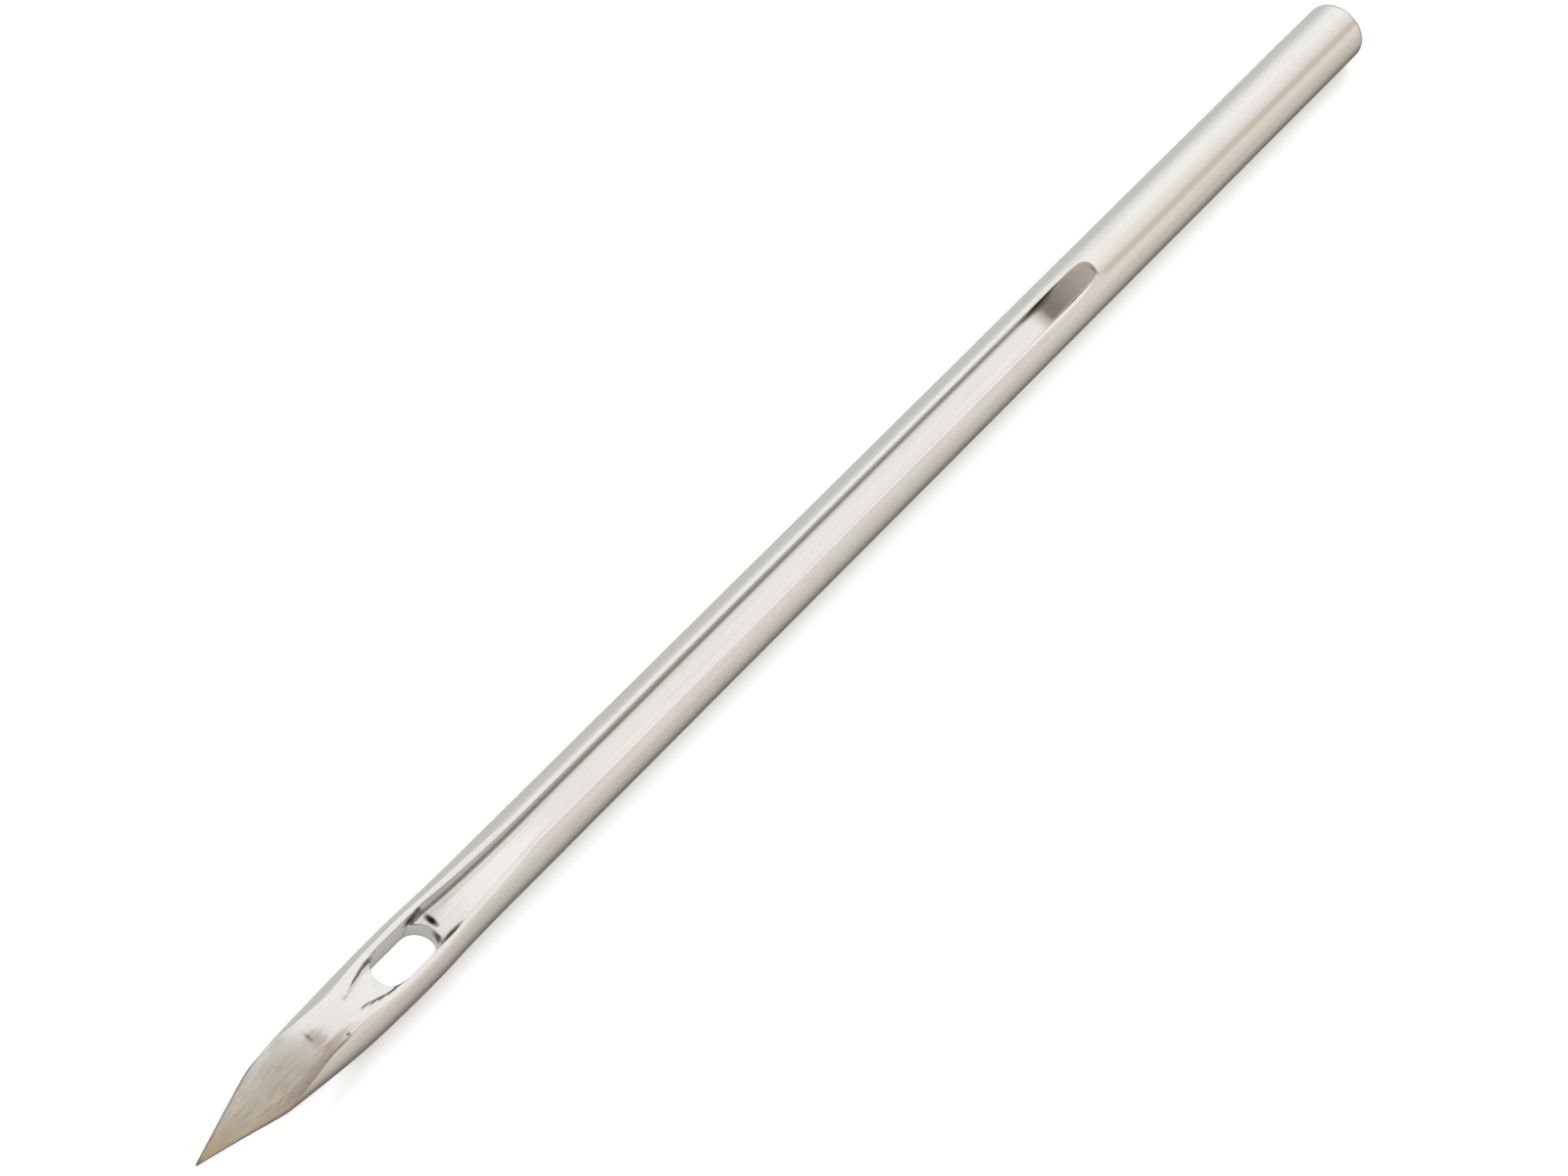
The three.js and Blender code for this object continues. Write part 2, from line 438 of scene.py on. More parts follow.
@dataclass(frozen=True)
class Section:
    """The outline across the needle at one place, before the eye and the grooves are cut.

    Attributes:
        radius: Radius of the round side.
        middle: Height of the section's middle above the axis.
        top: Height of the top face.
        under: Height of the underface.
        crown: Curvature of the faces across, in 1/mm.
        softness: Rounding band of the edges between the faces and the round side.
        least: Least height of a face above or below the middle.
    """

    radius: float
    middle: float
    top: float
    under: float
    crown: float
    softness: float
    least: float

    def face_reach(self, turn: float) -> float:
        """Returns the distance from the middle to the top face or underface.

        Args:
            turn: Angle from straight up.

        Returns:
            The distance in millimetres, long where the direction misses the face.
        """
        upright, sideways = math.cos(turn), math.sin(turn)
        rise = self.top - self.middle if upright > 0 else self.middle - self.under
        upright = max(abs(upright), 1e-6)
        bow = self.crown * sideways * sideways / 2
        flat = rise / upright
        if bow > 1e-6:
            flat = (math.sqrt(upright * upright + 4 * bow * rise) - upright) / (2 * bow)
        return max(flat, self.least / upright)

    def reach(self, turn: float) -> float:
        """Returns the distance from the middle to the skin at an angle from straight up."""
        return soft_min(self.radius, self.face_reach(turn), self.softness)

    def turn_at(self, across: float, upper: bool) -> float:
        """Finds the skin's point at a distance across.

        Args:
            across: Distance from the needle's middle.
            upper: Whether the point is on the top, not on the underside.

        Returns:
            Its angle from straight up.
        """
        if upper:
            return crossing(lambda t: self.reach(t) * math.sin(t) - across, 0.0, QUARTER)
        return crossing(lambda t: across - self.reach(t) * math.sin(t), QUARTER, math.pi)

    def height_at(self, across: float, upper: bool) -> float:
        """Returns the skin's height at a distance across, on the top or the underside."""
        turn = self.turn_at(across, upper)
        return self.middle + self.reach(turn) * math.cos(turn)

    def edge_turn(self, upper: bool) -> float:
        """Finds the edge between a face and the round side.

        Args:
            upper: Whether it is the top face's edge, not the underface's.

        Returns:
            Its angle from straight up.
        """
        if upper:
            return crossing(lambda t: self.face_reach(t) - self.radius, 0.0, QUARTER)
        return crossing(lambda t: self.radius - self.face_reach(t), QUARTER, math.pi)

    def edge_band(self, turn: float) -> float:
        """Returns the angle that an edge's rounding takes on each side, within limits."""
        slope = self.radius * max(abs(math.tan(turn)), 0.05)
        return clamp(self.softness / slope, 0.004, 0.1)


@dataclass(frozen=True)
class SpoonGroove:
    """The short groove that fades in on the point's side and deepens into the eye.

    Attributes:
        eye: The eye that the groove runs into.
        length: The groove's length.
        start_half: Half its width where it fades in.
        end_half: Half its width at the eye.
        depth: Its depth at the eye.
        corner: Rounding between its floor and its sides.
        depth_fade: Power with which it deepens.
        least_corner: Width of the corner where the groove has no depth yet.
        rim: Width of its lips.
    """

    eye: Eye
    length: float = 1.8
    start_half: float = 0.38
    end_half: float = 0.69
    depth: float = 0.31
    corner: float = 0.24
    depth_fade: float = 1.5
    least_corner: float = 0.06
    rim: float = 0.02

    @property
    def start(self) -> float:
        """Distance from the tip at which the groove fades in."""
        return self.eye.from_tip - self.length

    def share_at(self, from_tip: float) -> float:
        """Returns how far along the groove a place is, from 0 to 1."""
        return clamp((from_tip - self.start) / self.length, 0.0, 1.0)

    def depth_at(self, from_tip: float) -> float:
        """Returns the groove's depth below the face."""
        return self.depth * self.share_at(from_tip) ** self.depth_fade

    def lines_at(self, from_tip: float) -> tuple[float, float, float]:
        """Finds where the groove's floor, corner and side lie across the needle.

        Args:
            from_tip: Distance from the tip.

        Returns:
            Half widths at the floor's edge, at the corner's upper end and at the lip.
        """
        floor = mix(self.start_half, self.end_half, self.share_at(from_tip)) - self.corner
        left = self.corner - min(self.depth_at(from_tip), self.corner)
        swing = math.sqrt(self.corner ** 2 - left ** 2)
        foot = floor + max(swing, self.least_corner)
        widen = ease(from_tip, self.eye.from_tip, self.eye.front)
        lip = mix(foot + self.rim, self.eye.half_width, widen)
        return floor, foot, lip


@dataclass(frozen=True)
class ThreadGroove:
    """The long milled groove that holds the thread, from the eye to the cutter's run-out.

    Attributes:
        eye: The eye that the groove starts at.
        faces: The faces with the land that the groove lies in.
        half_width: Half the groove's width at the floor's corners.
        draft: How far each side leans outwards up to its lip.
        draft_at_eye: The same lean at the eye.
        flare: Distance behind the eye over which the groove narrows from the eye's width.
        floor_at_eye: Height of the floor at the eye.
        floor_after_ramp: Height of the floor where the ramp from the eye ends.
        floor_at_end: Height of the floor where the run-out starts.
        ramp: Length of the ramp.
        corner: Rounding between floor and sides.
        rim: Radius of the worn lips.
        row_reach_before: How far before the end the rows of points start to bend round it.
        row_reach_after: How far behind the end they still bend.
        exit_slopes: Slopes of the run-out's steep first part and gentle last part.
        exit_turn: Length of the gentle part.
        exit_softness: Rounding band of the run-out's turns.
        exit_corner: Rounding between floor and sides at the run-out's end.
        exit_rounding: How much sooner the run-out ends at its sides than in its middle.
        exit_squareness: Power that keeps the end's middle straight and its corners round.
        exit_rounded_before: Distance before the end from which that rounding is all there.
    """

    eye: Eye
    faces: Faces
    half_width: float = 0.468
    draft: float = 0.012
    draft_at_eye: float = 0.03
    flare: float = 5.6
    floor_at_eye: float = -0.06
    floor_after_ramp: float = 0.4
    floor_at_end: float = 0.6
    ramp: float = 8.7
    corner: float = 0.15
    rim: float = 0.022
    row_reach_before: float = 3.0
    row_reach_after: float = 2.5
    exit_slopes: tuple[float, float] = (math.tan(math.radians(13.3)), math.tan(math.radians(9.2)))
    exit_turn: float = 1.05
    exit_softness: float = 0.09
    exit_corner: float = 0.09
    exit_rounding: float = 0.16
    exit_squareness: int = 4
    exit_rounded_before: float = 0.5

    @property
    def start(self) -> float:
        """Distance from the tip of the eye's back end, where the ramp starts."""
        return self.eye.from_tip + self.eye.length

    @property
    def exit_from_tip(self) -> float:
        """Distance from the tip at which the floor starts to rise to the run-out's end."""
        steep, gentle = self.exit_slopes
        depth = self.faces.bar.radius - self.floor_at_end - gentle * self.exit_turn
        return self.faces.groove_end - self.exit_turn - depth / steep

    def corner_at(self, from_tip: float) -> float:
        """Returns the rounding between floor and side, which is small at the run-out's end."""
        start, end = self.exit_from_tip, self.faces.groove_end - self.exit_turn / 2
        return mix(self.corner, self.exit_corner, ease(from_tip, start, end))

    def lines_at(self, from_tip: float) -> tuple[float, float, float]:
        """Finds where the groove's floor, corner and side lie across the needle.

        Args:
            from_tip: Distance from the tip.

        Returns:
            Half widths at the floor's edge, at the corner's upper end and at the lip.
        """
        narrow = 1 - (1 - part_way(from_tip, self.start, self.start + self.flare)) ** 2
        foot = mix(self.eye.half_width - self.draft_at_eye, self.half_width, narrow)
        lip = foot + mix(self.draft_at_eye, self.draft, narrow)
        return foot - self.corner_at(from_tip), foot, lip

    def floor_at(self, from_tip: float) -> float:
        """Finds the height of the floor's middle: a ramp, a long gentle rise and the run-out.

        Args:
            from_tip: Distance from the tip.

        Returns:
            The height above the shank's axis.
        """
        ramp_end = self.start + self.ramp
        if from_tip < ramp_end:
            share = math.sin(part_way(from_tip, self.start, ramp_end) * QUARTER)
            return mix(self.floor_at_eye, self.floor_after_ramp, share)
        slope = (self.floor_at_end - self.floor_after_ramp) / (self.exit_from_tip - ramp_end)
        floor = self.floor_after_ramp + slope * (from_tip - ramp_end)
        steep, gentle = self.exit_slopes
        end = self.faces.groove_end
        first = self.floor_at_end + steep * (from_tip - self.exit_from_tip)
        last = self.faces.bar.radius + gentle * (from_tip - end)
        rise = soft_min(first, last, self.exit_softness)
        return -soft_min(-floor, -rise, self.exit_softness)

    def floor_across(self, from_tip: float, across: float) -> float:
        """Finds the floor's height, which rises sooner at the sides so that the end is round.

        Args:
            from_tip: Distance from the tip.
            across: Distance from the needle's middle.

        Returns:
            The height above the shank's axis.
        """
        side = min(across / self.half_width, 1.0) ** self.exit_squareness
        rounded_from_tip = self.faces.groove_end - self.exit_rounded_before
        near_end = ease(from_tip, self.exit_from_tip, rounded_from_tip)
        return self.floor_at(from_tip + self.exit_rounding * side * near_end)


class Strip(Enum):
    """The strips of the skin from the middle of the underside round to the middle of the top."""

    UNDER_FLOOR = auto()
    UNDER_CORNER = auto()
    UNDER_WALL = auto()
    UNDER_FACE = auto()
    LOW_EDGE = auto()
    FLANK = auto()
    TOP_EDGE = auto()
    LAND = auto()
    RIM = auto()
    WALL = auto()
    CORNER = auto()
    FLOOR = auto()


class Mark(Enum):
    """The marks on the skin's points that the steel reads, by the name of their attribute."""

    GROUND_FACE = "ground_face"
    FACE_EDGE = "near_face_edge"
    GROOVE_EXIT = "groove_exit"


@dataclass(frozen=True)
class Column:
    """One line of points along the needle.

    Attributes:
        strip: The strip that it lies in.
        share: How far across the strip it lies, from 0 to 1.
    """

    strip: Strip
    share: float


@dataclass
class AwlNeedle:
    """The needle, whose skin is one sheet of faces, shaped, opened at the eye and mirrored.

    Attributes:
        bar: The wire that it is made of.
        eye: Its eye.
        floor_columns: Columns of faces across half a groove's floor. The next ones count the
            columns of the other strips.
        eye_wall_cuts: Rings of points between the eye's two rims.
        butt_rows: Rows of faces round the butt's rounding.
        arc_angle: Angle by which columns crowd towards the floor's edge.
        nose_half: Half width that the floor's columns take on the nose, as a share of its radius.
        nose_blend: Distance before the spoon groove over which they widen to its width.
        floor_softness: Rounding band where a floor leaves the skin.
        rim_spread: Width of the rounded lip as a share of its radius.
        rim_blend: Distances before the eye and behind it over which the lips grow to its rims.
        edge_room: Least angle between a face's edge and the next strip.
        edge_reach: Width of the band along the edge of the spear's face that can be browned.
        under_ground_end: Distance from the tip at which the underface's ground finish ends.
        exit_fade: Distance over which the run-out's cut finish fades in, each way.
        eye_margin: Gap to the eye's outline within which a rim's point belongs to the eye.
        eye_inside: Gap to the eye's outline below which a face's middle lies in the opening.
    """

    bar: Bar = field(default_factory=Bar)
    eye: Eye = field(default_factory=Eye)
    floor_columns: int = 10
    corner_columns: int = 5
    wall_columns: int = 3
    rim_columns: int = 3
    land_columns: int = 9
    edge_columns: int = 5
    flank_columns: int = 26
    under_columns: int = 4
    eye_wall_cuts: int = 6
    butt_rows: int = 12
    arc_angle: float = math.radians(50)
    nose_half: float = 0.33
    nose_blend: float = 2.6
    floor_softness: float = 0.004
    rim_spread: float = 1.6
    rim_blend: tuple[float, float] = (0.7, 2.0)
    edge_room: float = 0.03
    edge_reach: float = 0.6
    under_ground_end: float = 6.0
    exit_fade: float = 0.5
    eye_margin: float = 0.01
    eye_inside: float = -1e-4

    def __post_init__(self) -> None:
        """Makes the features that depend on the bar and the eye."""
        self.faces = Faces(self.bar, self.eye)
        self.spoon = SpoonGroove(self.eye)
        self.groove = ThreadGroove(self.eye, self.faces)
        self.top_line = self.faces.top_line()
        self.under_line = self.faces.under_line()
        self.section_at = lru_cache(maxsize=None)(self._section_at)
        self.exit_at = lru_cache(maxsize=None)(self._exit_at)

    def _section_at(self, from_tip: float) -> Section:
        """Returns the outline across the needle at a distance from the tip."""
        return Section(
            radius=self.bar.radius_at(from_tip),
            middle=self.bar.middle_at(from_tip),
            top=self.top_line.at(from_tip),
            under=self.under_line.at(from_tip),
            crown=self.faces.crown_at(from_tip) / self.faces.crown_radius,
            softness=self.faces.softness_at(from_tip),
            least=self.faces.tip_thickness / 4,
        )

    def rows(self) -> list[float]:
        """Returns the rows' distances from the tip, close together where the shape turns."""
        eye, groove, end = self.eye, self.groove, self.faces.groove_end
        shoulder, rounding = self.bar.shoulder_from_tip, self.bar.butt_rounding
        butt = self.bar.length - rounding
        # Where each span of rows ends, and how many rows it has
        spans = (
            (0.3, 7), (shoulder - 0.5, 20), (shoulder + 0.5, 18), (self.spoon.start + 0.1, 36),
            (eye.from_tip - 1.0, 22), (eye.front - 0.1, 40), (eye.front - 0.02, 6),
            (eye.front, 2), (eye.back, 12), (eye.back + 0.02, 2), (eye.back + 0.1, 6),
            (eye.back + 1.9, 34), (groove.start + groove.flare - 0.05, 26),
            (groove.start + groove.ramp + 0.15, 12), (end - 3.8, 34), (end - 1.8, 22),
            (end - 0.5, 32), (end + 0.3, 34), (end + 2.6, 18), (butt - 0.3, 15), (butt, 2),
        )
        places = [0.0]
        for span_end, steps in spans:
            start = places[-1]
            places += [mix(start, span_end, step / steps) for step in range(1, steps + 1)]
        turns = [QUARTER * step / self.butt_rows for step in range(1, self.butt_rows + 1)]
        return places + [butt + rounding * math.sin(turn) for turn in turns]

    def columns(self) -> list[Column]:
        """Returns the columns from the middle of the underside to the middle of the top."""
        strips = (
            (Strip.UNDER_FLOOR, self.floor_columns),
            (Strip.UNDER_CORNER, self.corner_columns),
            (Strip.UNDER_WALL, self.wall_columns),
            (Strip.UNDER_FACE, self.under_columns),
            (Strip.LOW_EDGE, self.edge_columns),
            (Strip.FLANK, self.flank_columns),
            (Strip.TOP_EDGE, self.edge_columns),
            (Strip.LAND, self.land_columns),
            (Strip.RIM, self.rim_columns),
            (Strip.WALL, self.wall_columns),
            (Strip.CORNER, self.corner_columns),
            (Strip.FLOOR, self.floor_columns),
        )
        columns = [Column(Strip.UNDER_FLOOR, 0.0)]
        for strip, count in strips:
            columns += [Column(strip, step / count) for step in range(1, count + 1)]
        return columns

    def top_lines(self, row: float) -> tuple[float, float, float]:
        """Finds where the floor, the corner and the lip lie on top.

        Args:
            row: Distance from the tip of the unbent row.

        Returns:
            Half widths at the floor's edge, at the corner's upper end and at the lip.
        """
        first = self.spoon.lines_at(self.spoon.start)
        if row < self.spoon.start:
            fade = ease(row, self.spoon.start - self.nose_blend, self.spoon.start)
            lip = mix(self.nose_half * self.bar.radius_at(row), first[2], fade)
            return tuple(line * lip / first[2] for line in first)
        if row <= self.eye.front:
            return self.spoon.lines_at(row)
        if row < self.eye.back:
            share = part_way(row, self.eye.front, self.eye.back)
            pairs = zip(self.spoon.lines_at(self.eye.front), self.groove.lines_at(self.eye.back))
            return tuple(mix(a, b, share) for a, b in pairs)
        return self.narrowed(self.groove.lines_at(row), row)

    def under_lines(self, row: float) -> tuple[float, float, float]:
        """Returns the half widths of the same three lines on the underside, at a row."""
        return self.narrowed(self.top_lines(clamp(row, self.eye.front, self.eye.back)), row)

    def narrowed(self, lines: tuple[float, float, float], row: float) -> tuple[float, ...]:
        """Returns half widths made narrower where the bar is thinner than its shank."""
        scale = min(self.bar.radius_at(row) / self.bar.radius, 1.0)
        return tuple(line * scale for line in lines)

    def across(self, column: Column, lines: tuple[float, float, float]) -> float:
        """Finds how far from the middle a point of a floor, corner or wall strip lies.

        Args:
            column: The point's column.
            lines: Half widths at the floor's edge, at the corner's upper end and at the lip.

        Returns:
            The distance from the middle.
        """
        floor, foot, lip = lines
        share = column.share
        if column.strip in (Strip.FLOOR, Strip.UNDER_FLOOR):
            share = 1 - share if column.strip is Strip.FLOOR else share
            return floor * math.sin(share * self.arc_angle) / math.sin(self.arc_angle)
        if column.strip in (Strip.CORNER, Strip.UNDER_CORNER):
            share = 1 - share if column.strip is Strip.CORNER else share
            return mix(floor, foot, math.sin(share * QUARTER))
        share = 1 - share if column.strip is Strip.WALL else share
        return mix(foot, lip, share)

    def corner_rise(self, row: float, across: float) -> float:
        """Finds how far the rounded corner of a groove has risen above its floor.

        Args:
            row: Distance from the tip of the unbent row.
            across: Distance from the needle's middle.

        Returns:
            The rise.
        """
        floor = self.top_lines(row)[0]
        corner = self.spoon.corner if row < self.eye.front else self.groove.corner_at(row)
        into = clamp(across - floor, 0.0, corner)
        return corner - math.sqrt(corner * corner - into * into)

    def _exit_at(self, across: float) -> float:
        """Finds where the groove's run-out leaves the skin.

        Args:
            across: Distance from the needle's middle.

        Returns:
            The distance from the tip.
        """
        end = self.faces.groove_end
        across = min(across, self.groove.lines_at(end)[1])
        rise = self.corner_rise(end, across)

        def above(from_tip: float) -> float:
            """Returns the floor's height above the skin."""
            skin = self.section_at(from_tip).height_at(across, True)
            return self.groove.floor_across(from_tip, across) + rise - skin

        return crossing(above, end - 2.0, end + 0.2)

    def exit_bend(self, row: float, across: float) -> float:
        """Finds how far a row near the run-out bends to follow the groove's end.

        Args:
            row: Distance from the tip of the unbent row.
            across: Distance from the needle's middle.

        Returns:
            The shift along the needle.
        """
        end, groove = self.exit_at(0.0), self.groove
        before = clamp(1 - (end - row) / groove.row_reach_before, 0.0, 1.0)
        after = clamp(1 - (row - end) / groove.row_reach_after, 0.0, 1.0)
        fade = before if row < end else after
        return (self.exit_at(across) - end) * fade if fade > 0 else 0.0

    def eye_drop(self, from_tip: float, across: float) -> float:
        """Returns how far the worn rim of the eye lowers the skin near it."""
        return worn(self.eye.rim, self.eye.gap(from_tip, across))

    def groove_floor(self, row: float, from_tip: float, across: float,
                     section: Section) -> float:
        """Finds the height of a groove's floor, which lies above the skin where none is.

        Args:
            row: Distance from the tip of the unbent row.
            from_tip: Distance from the tip of the point.
            across: Distance from the needle's middle.
            section: The outline across the needle there.

        Returns:
            The height above the shank's axis.
        """
        if row <= self.eye.front:
            return section.height_at(0.0, True) - self.spoon.depth_at(from_tip)
        return self.groove.floor_across(from_tip, across)

    def wall_height(self, row: float, from_tip: float, section: Section) -> float:
        """Finds how high a groove's upright side is.

        Args:
            row: Distance from the tip of the unbent row.
            from_tip: Distance from the tip of the point.
            section: The outline across the needle there.

        Returns:
            The height from the corner's upper end to the lip.
        """
        if self.eye.front < row < self.eye.back:
            return self.eye.half_width
        lines = self.top_lines(row)
        floor = self.groove_floor(row, from_tip, lines[1], section)
        foot = floor + self.corner_rise(row, lines[1])
        return max(section.height_at(lines[2], True) - foot, 0.0)

    def top_point(self, row: float, column: Column) -> tuple[float, float, float]:
        """Places a point of the floor, corner or wall of a groove, or of the skin between.

        Args:
            row: Distance from the tip of the unbent row.
            column: The point's column.

        Returns:
            The point as distance from the tip, across and up.
        """
        lines = self.top_lines(row)
        across = self.across(column, lines)
        from_tip = row + self.eye.bend(row, across / lines[2]) + self.exit_bend(row, across)
        section = self.section_at(from_tip)
        skin = section.height_at(across, True)
        floor = self.groove_floor(row, from_tip, across, section)
        if column.strip is not Strip.WALL:
            rise = self.corner_rise(row, across)
            height = soft_min(skin, floor + rise, self.floor_softness)
            facing_up = 1 - clamp(rise / self.groove.corner_at(row), 0.0, 1.0)
            return from_tip, across, height - self.eye_drop(from_tip, across) * facing_up
        foot = min(skin, floor + self.corner_rise(row, lines[1]))
        lip = section.height_at(lines[2], True) - self.rim_drop(row, 0.0, from_tip, section)
        return from_tip, across, mix(foot, lip, 1 - column.share)

    def rim_drop(self, row: float, gap: float, from_tip: float, section: Section) -> float:
        """Finds how far the worn lip of the groove or eye lowers the skin beside it.

        Args:
            row: Distance from the tip of the unbent row.
            gap: Distance of the point from the lip.
            from_tip: Distance from the tip of the point.
            section: The outline across the needle there.

        Returns:
            The drop, which fades where the side beside the lip is low.
        """
        before, behind = self.rim_blend
        near_eye = min(
            ease(row, self.eye.front - before, self.eye.front),
            1 - ease(row, self.eye.back, self.eye.back + behind),
        )
        rim = mix(self.groove.rim, self.eye.rim, near_eye)
        part = clamp(self.wall_height(row, from_tip, section) / (2 * rim), 0.0, 1.0)
        return part * worn(rim, gap)

    def rim_point(self, row: float, share: float) -> tuple[float, float, float]:
        """Places a point on the rounded lip.

        Args:
            row: Distance from the tip of the unbent row.
            share: Where on the lip it is, from the land at 0 to the wall at 1.

        Returns:
            The point as distance from the tip, across and up.
        """
        lip = self.top_lines(row)[2]
        from_tip = row + self.exit_bend(row, lip)
        section = self.section_at(from_tip)
        gap = self.groove.rim * (1 - math.sin(share * QUARTER)) * self.rim_spread
        across = lip + gap
        drop = self.rim_drop(row, gap, from_tip, section)
        return from_tip, across, section.height_at(across, True) - drop

    def under_point(self, row: float, column: Column) -> tuple[float, float, float]:
        """Places a point of the underside's middle, where the eye comes out.

        Args:
            row: Distance from the tip of the unbent row.
            column: The point's column.

        Returns:
            The point as distance from the tip, across and up.
        """
        lines = self.under_lines(row)
        across = self.across(column, lines)
        shift = self.exit_bend(row, self.top_lines(row)[2])
        from_tip = row + self.eye.bend(row, across / lines[2]) + shift
        section = self.section_at(from_tip)
        height = section.height_at(across, False)
        return from_tip, across, height + self.eye_drop(from_tip, across)

    def side_point(self, row: float, column: Column) -> tuple[float, float, float]:
        """Places a point of the underface, the round flank, the land or an edge between them.

        Args:
            row: Distance from the tip of the unbent row.
            column: The point's column.

        Returns:
            The point as distance from the tip, across and up.
        """
        lip = self.top_lines(row)[2]
        from_tip = row + self.exit_bend(row, lip)
        section = self.section_at(from_tip)
        start = section.turn_at(lip + self.groove.rim * self.rim_spread, True)
        finish = section.turn_at(self.under_lines(row)[2], False)
        room = self.edge_room
        top = clamp(section.edge_turn(True), start + room, finish - 4 * room)
        low = clamp(section.edge_turn(False), top + 3 * room, finish - room)
        top_band = min(section.edge_band(top), room / 2, (top - start) / 2)
        low_band = min(section.edge_band(low), room / 2, (finish - low) / 2)
        share = column.share
        spread = mix(share, ease(share, 0.0, 1.0), 0.5)
        turn = {
            Strip.UNDER_FACE: mix(finish, low + low_band, spread),
            Strip.LOW_EDGE: mix(low + low_band, low - low_band, share),
            Strip.FLANK: mix(low - low_band, top + top_band, spread),
            Strip.TOP_EDGE: mix(top + top_band, top - top_band, share),
            Strip.LAND: mix(top - top_band, start, spread),
        }[column.strip]
        reach = section.reach(turn)
        across, height = reach * math.sin(turn), section.middle + reach * math.cos(turn)
        drop = self.eye_drop(from_tip, across)
        return from_tip, across, height - math.copysign(drop, math.cos(turn))

    def point(self, row: float, column: Column) -> Vector:
        """Places a point of the half skin.

        Args:
            row: Distance from the tip of the unbent row.
            column: The point's column.

        Returns:
            The point in millimetres in the part's frame.
        """
        if column.strip in (Strip.UNDER_FLOOR, Strip.UNDER_CORNER, Strip.UNDER_WALL):
            place = self.under_point(row, column)
        elif column.strip is Strip.RIM:
            place = self.rim_point(row, column.share)
        elif column.strip in (Strip.WALL, Strip.CORNER, Strip.FLOOR):
            place = self.top_point(row, column)
        else:
            place = self.side_point(row, column)
        from_tip, across, height = place
        return Vector((from_tip - self.bar.length, across, height))

    def on_ground_face(self, row: float, column: Column) -> float:
        """Tells whether a point is on the spear's ground faces.

        Args:
            row: Distance from the tip of the unbent row.
            column: The point's column.

        Returns:
            1 on the ground faces and 0 elsewhere.
        """
        top = (Strip.LAND, Strip.RIM, Strip.WALL, Strip.CORNER, Strip.FLOOR)
        under = (Strip.UNDER_FACE, Strip.UNDER_WALL, Strip.UNDER_CORNER, Strip.UNDER_FLOOR)
        if column.strip is Strip.TOP_EDGE:
            return float(column.share > 0.5 and row < self.eye.from_tip)
        if column.strip in top:
            return float(row < self.eye.from_tip)
        return float(
            column.strip in under and self.bar.shoulder_from_tip < row < self.under_ground_end,
        )

    def near_face_edge(self, row: float, column: Column) -> float:
        """Finds how near a point of the spear's top face is to the face's edge.

        Args:
            row: Distance from the tip of the unbent row.
            column: The point's column.

        Returns:
            The nearness, from 0 on the face's middle and elsewhere to 1 at its edge.
        """
        if column.strip is Strip.TOP_EDGE:
            return float(column.share > 0.5)
        if column.strip is not Strip.LAND or row > self.eye.from_tip:
            return 0.0
        section = self.section_at(row)
        edge = section.radius * math.sin(section.edge_turn(True))
        return clamp(1 - (edge - self.point(row, column).y) / self.edge_reach, 0.0, 1.0)

    def in_groove_exit(self, row: float, column: Column) -> float:
        """Finds how much of the run-out's cut finish a point has.

        Args:
            row: Distance from the tip of the unbent row.
            column: The point's column.

        Returns:
            1 on the rising end of the long groove's floor, and 0 elsewhere.
        """
        cut = column.strip in (Strip.WALL, Strip.CORNER, Strip.FLOOR)
        if not cut or row > self.faces.groove_end:
            return 0.0
        start = self.groove.exit_from_tip
        return ease(row, start - self.exit_fade, start + self.exit_fade)

    def shape_sheet(self, sheet: bmesh.types.BMesh) -> None:
        """Fills a mesh with a sheet of faces that lies on half of the needle's skin.

        Args:
            sheet: The mesh, still empty. Its points also get the marks that the steel reads.
        """
        rows, columns = self.rows(), self.columns()
        bmesh.ops.create_grid(
            sheet, x_segments=len(rows) - 1, y_segments=len(columns) - 1, size=0.5,
        )
        marks = {
            Mark.GROUND_FACE: self.on_ground_face,
            Mark.FACE_EDGE: self.near_face_edge,
            Mark.GROOVE_EXIT: self.in_groove_exit,
        }
        layers = {mark: sheet.verts.layers.float.new(mark.value) for mark in marks}
        for vert in sheet.verts:
            row = rows[round((vert.co.x + 0.5) * (len(rows) - 1))]
            column = columns[round((vert.co.y + 0.5) * (len(columns) - 1))]
            vert.co = self.point(row, column)
            for mark, find in marks.items():
                vert[layers[mark]] = find(row, column)

    def open_eye(self, sheet: bmesh.types.BMesh) -> None:
        """Takes out the faces inside the eye's outline, on the top and the underside.

        Args:
            sheet: The half skin.
        """
        inside = [
            face for face in sheet.faces
            if self.eye.gap(*self.flat_place(face.calc_center_median())) < self.eye_inside
        ]
        LOG.info("eye opened: %d faces out", len(inside))
        bmesh.ops.delete(sheet, geom=inside, context="FACES")

    def flat_place(self, place: Vector) -> Point:
        """Returns a point's distance from the tip and from the middle, seen from above."""
        return place.x + self.bar.length, abs(place.y)

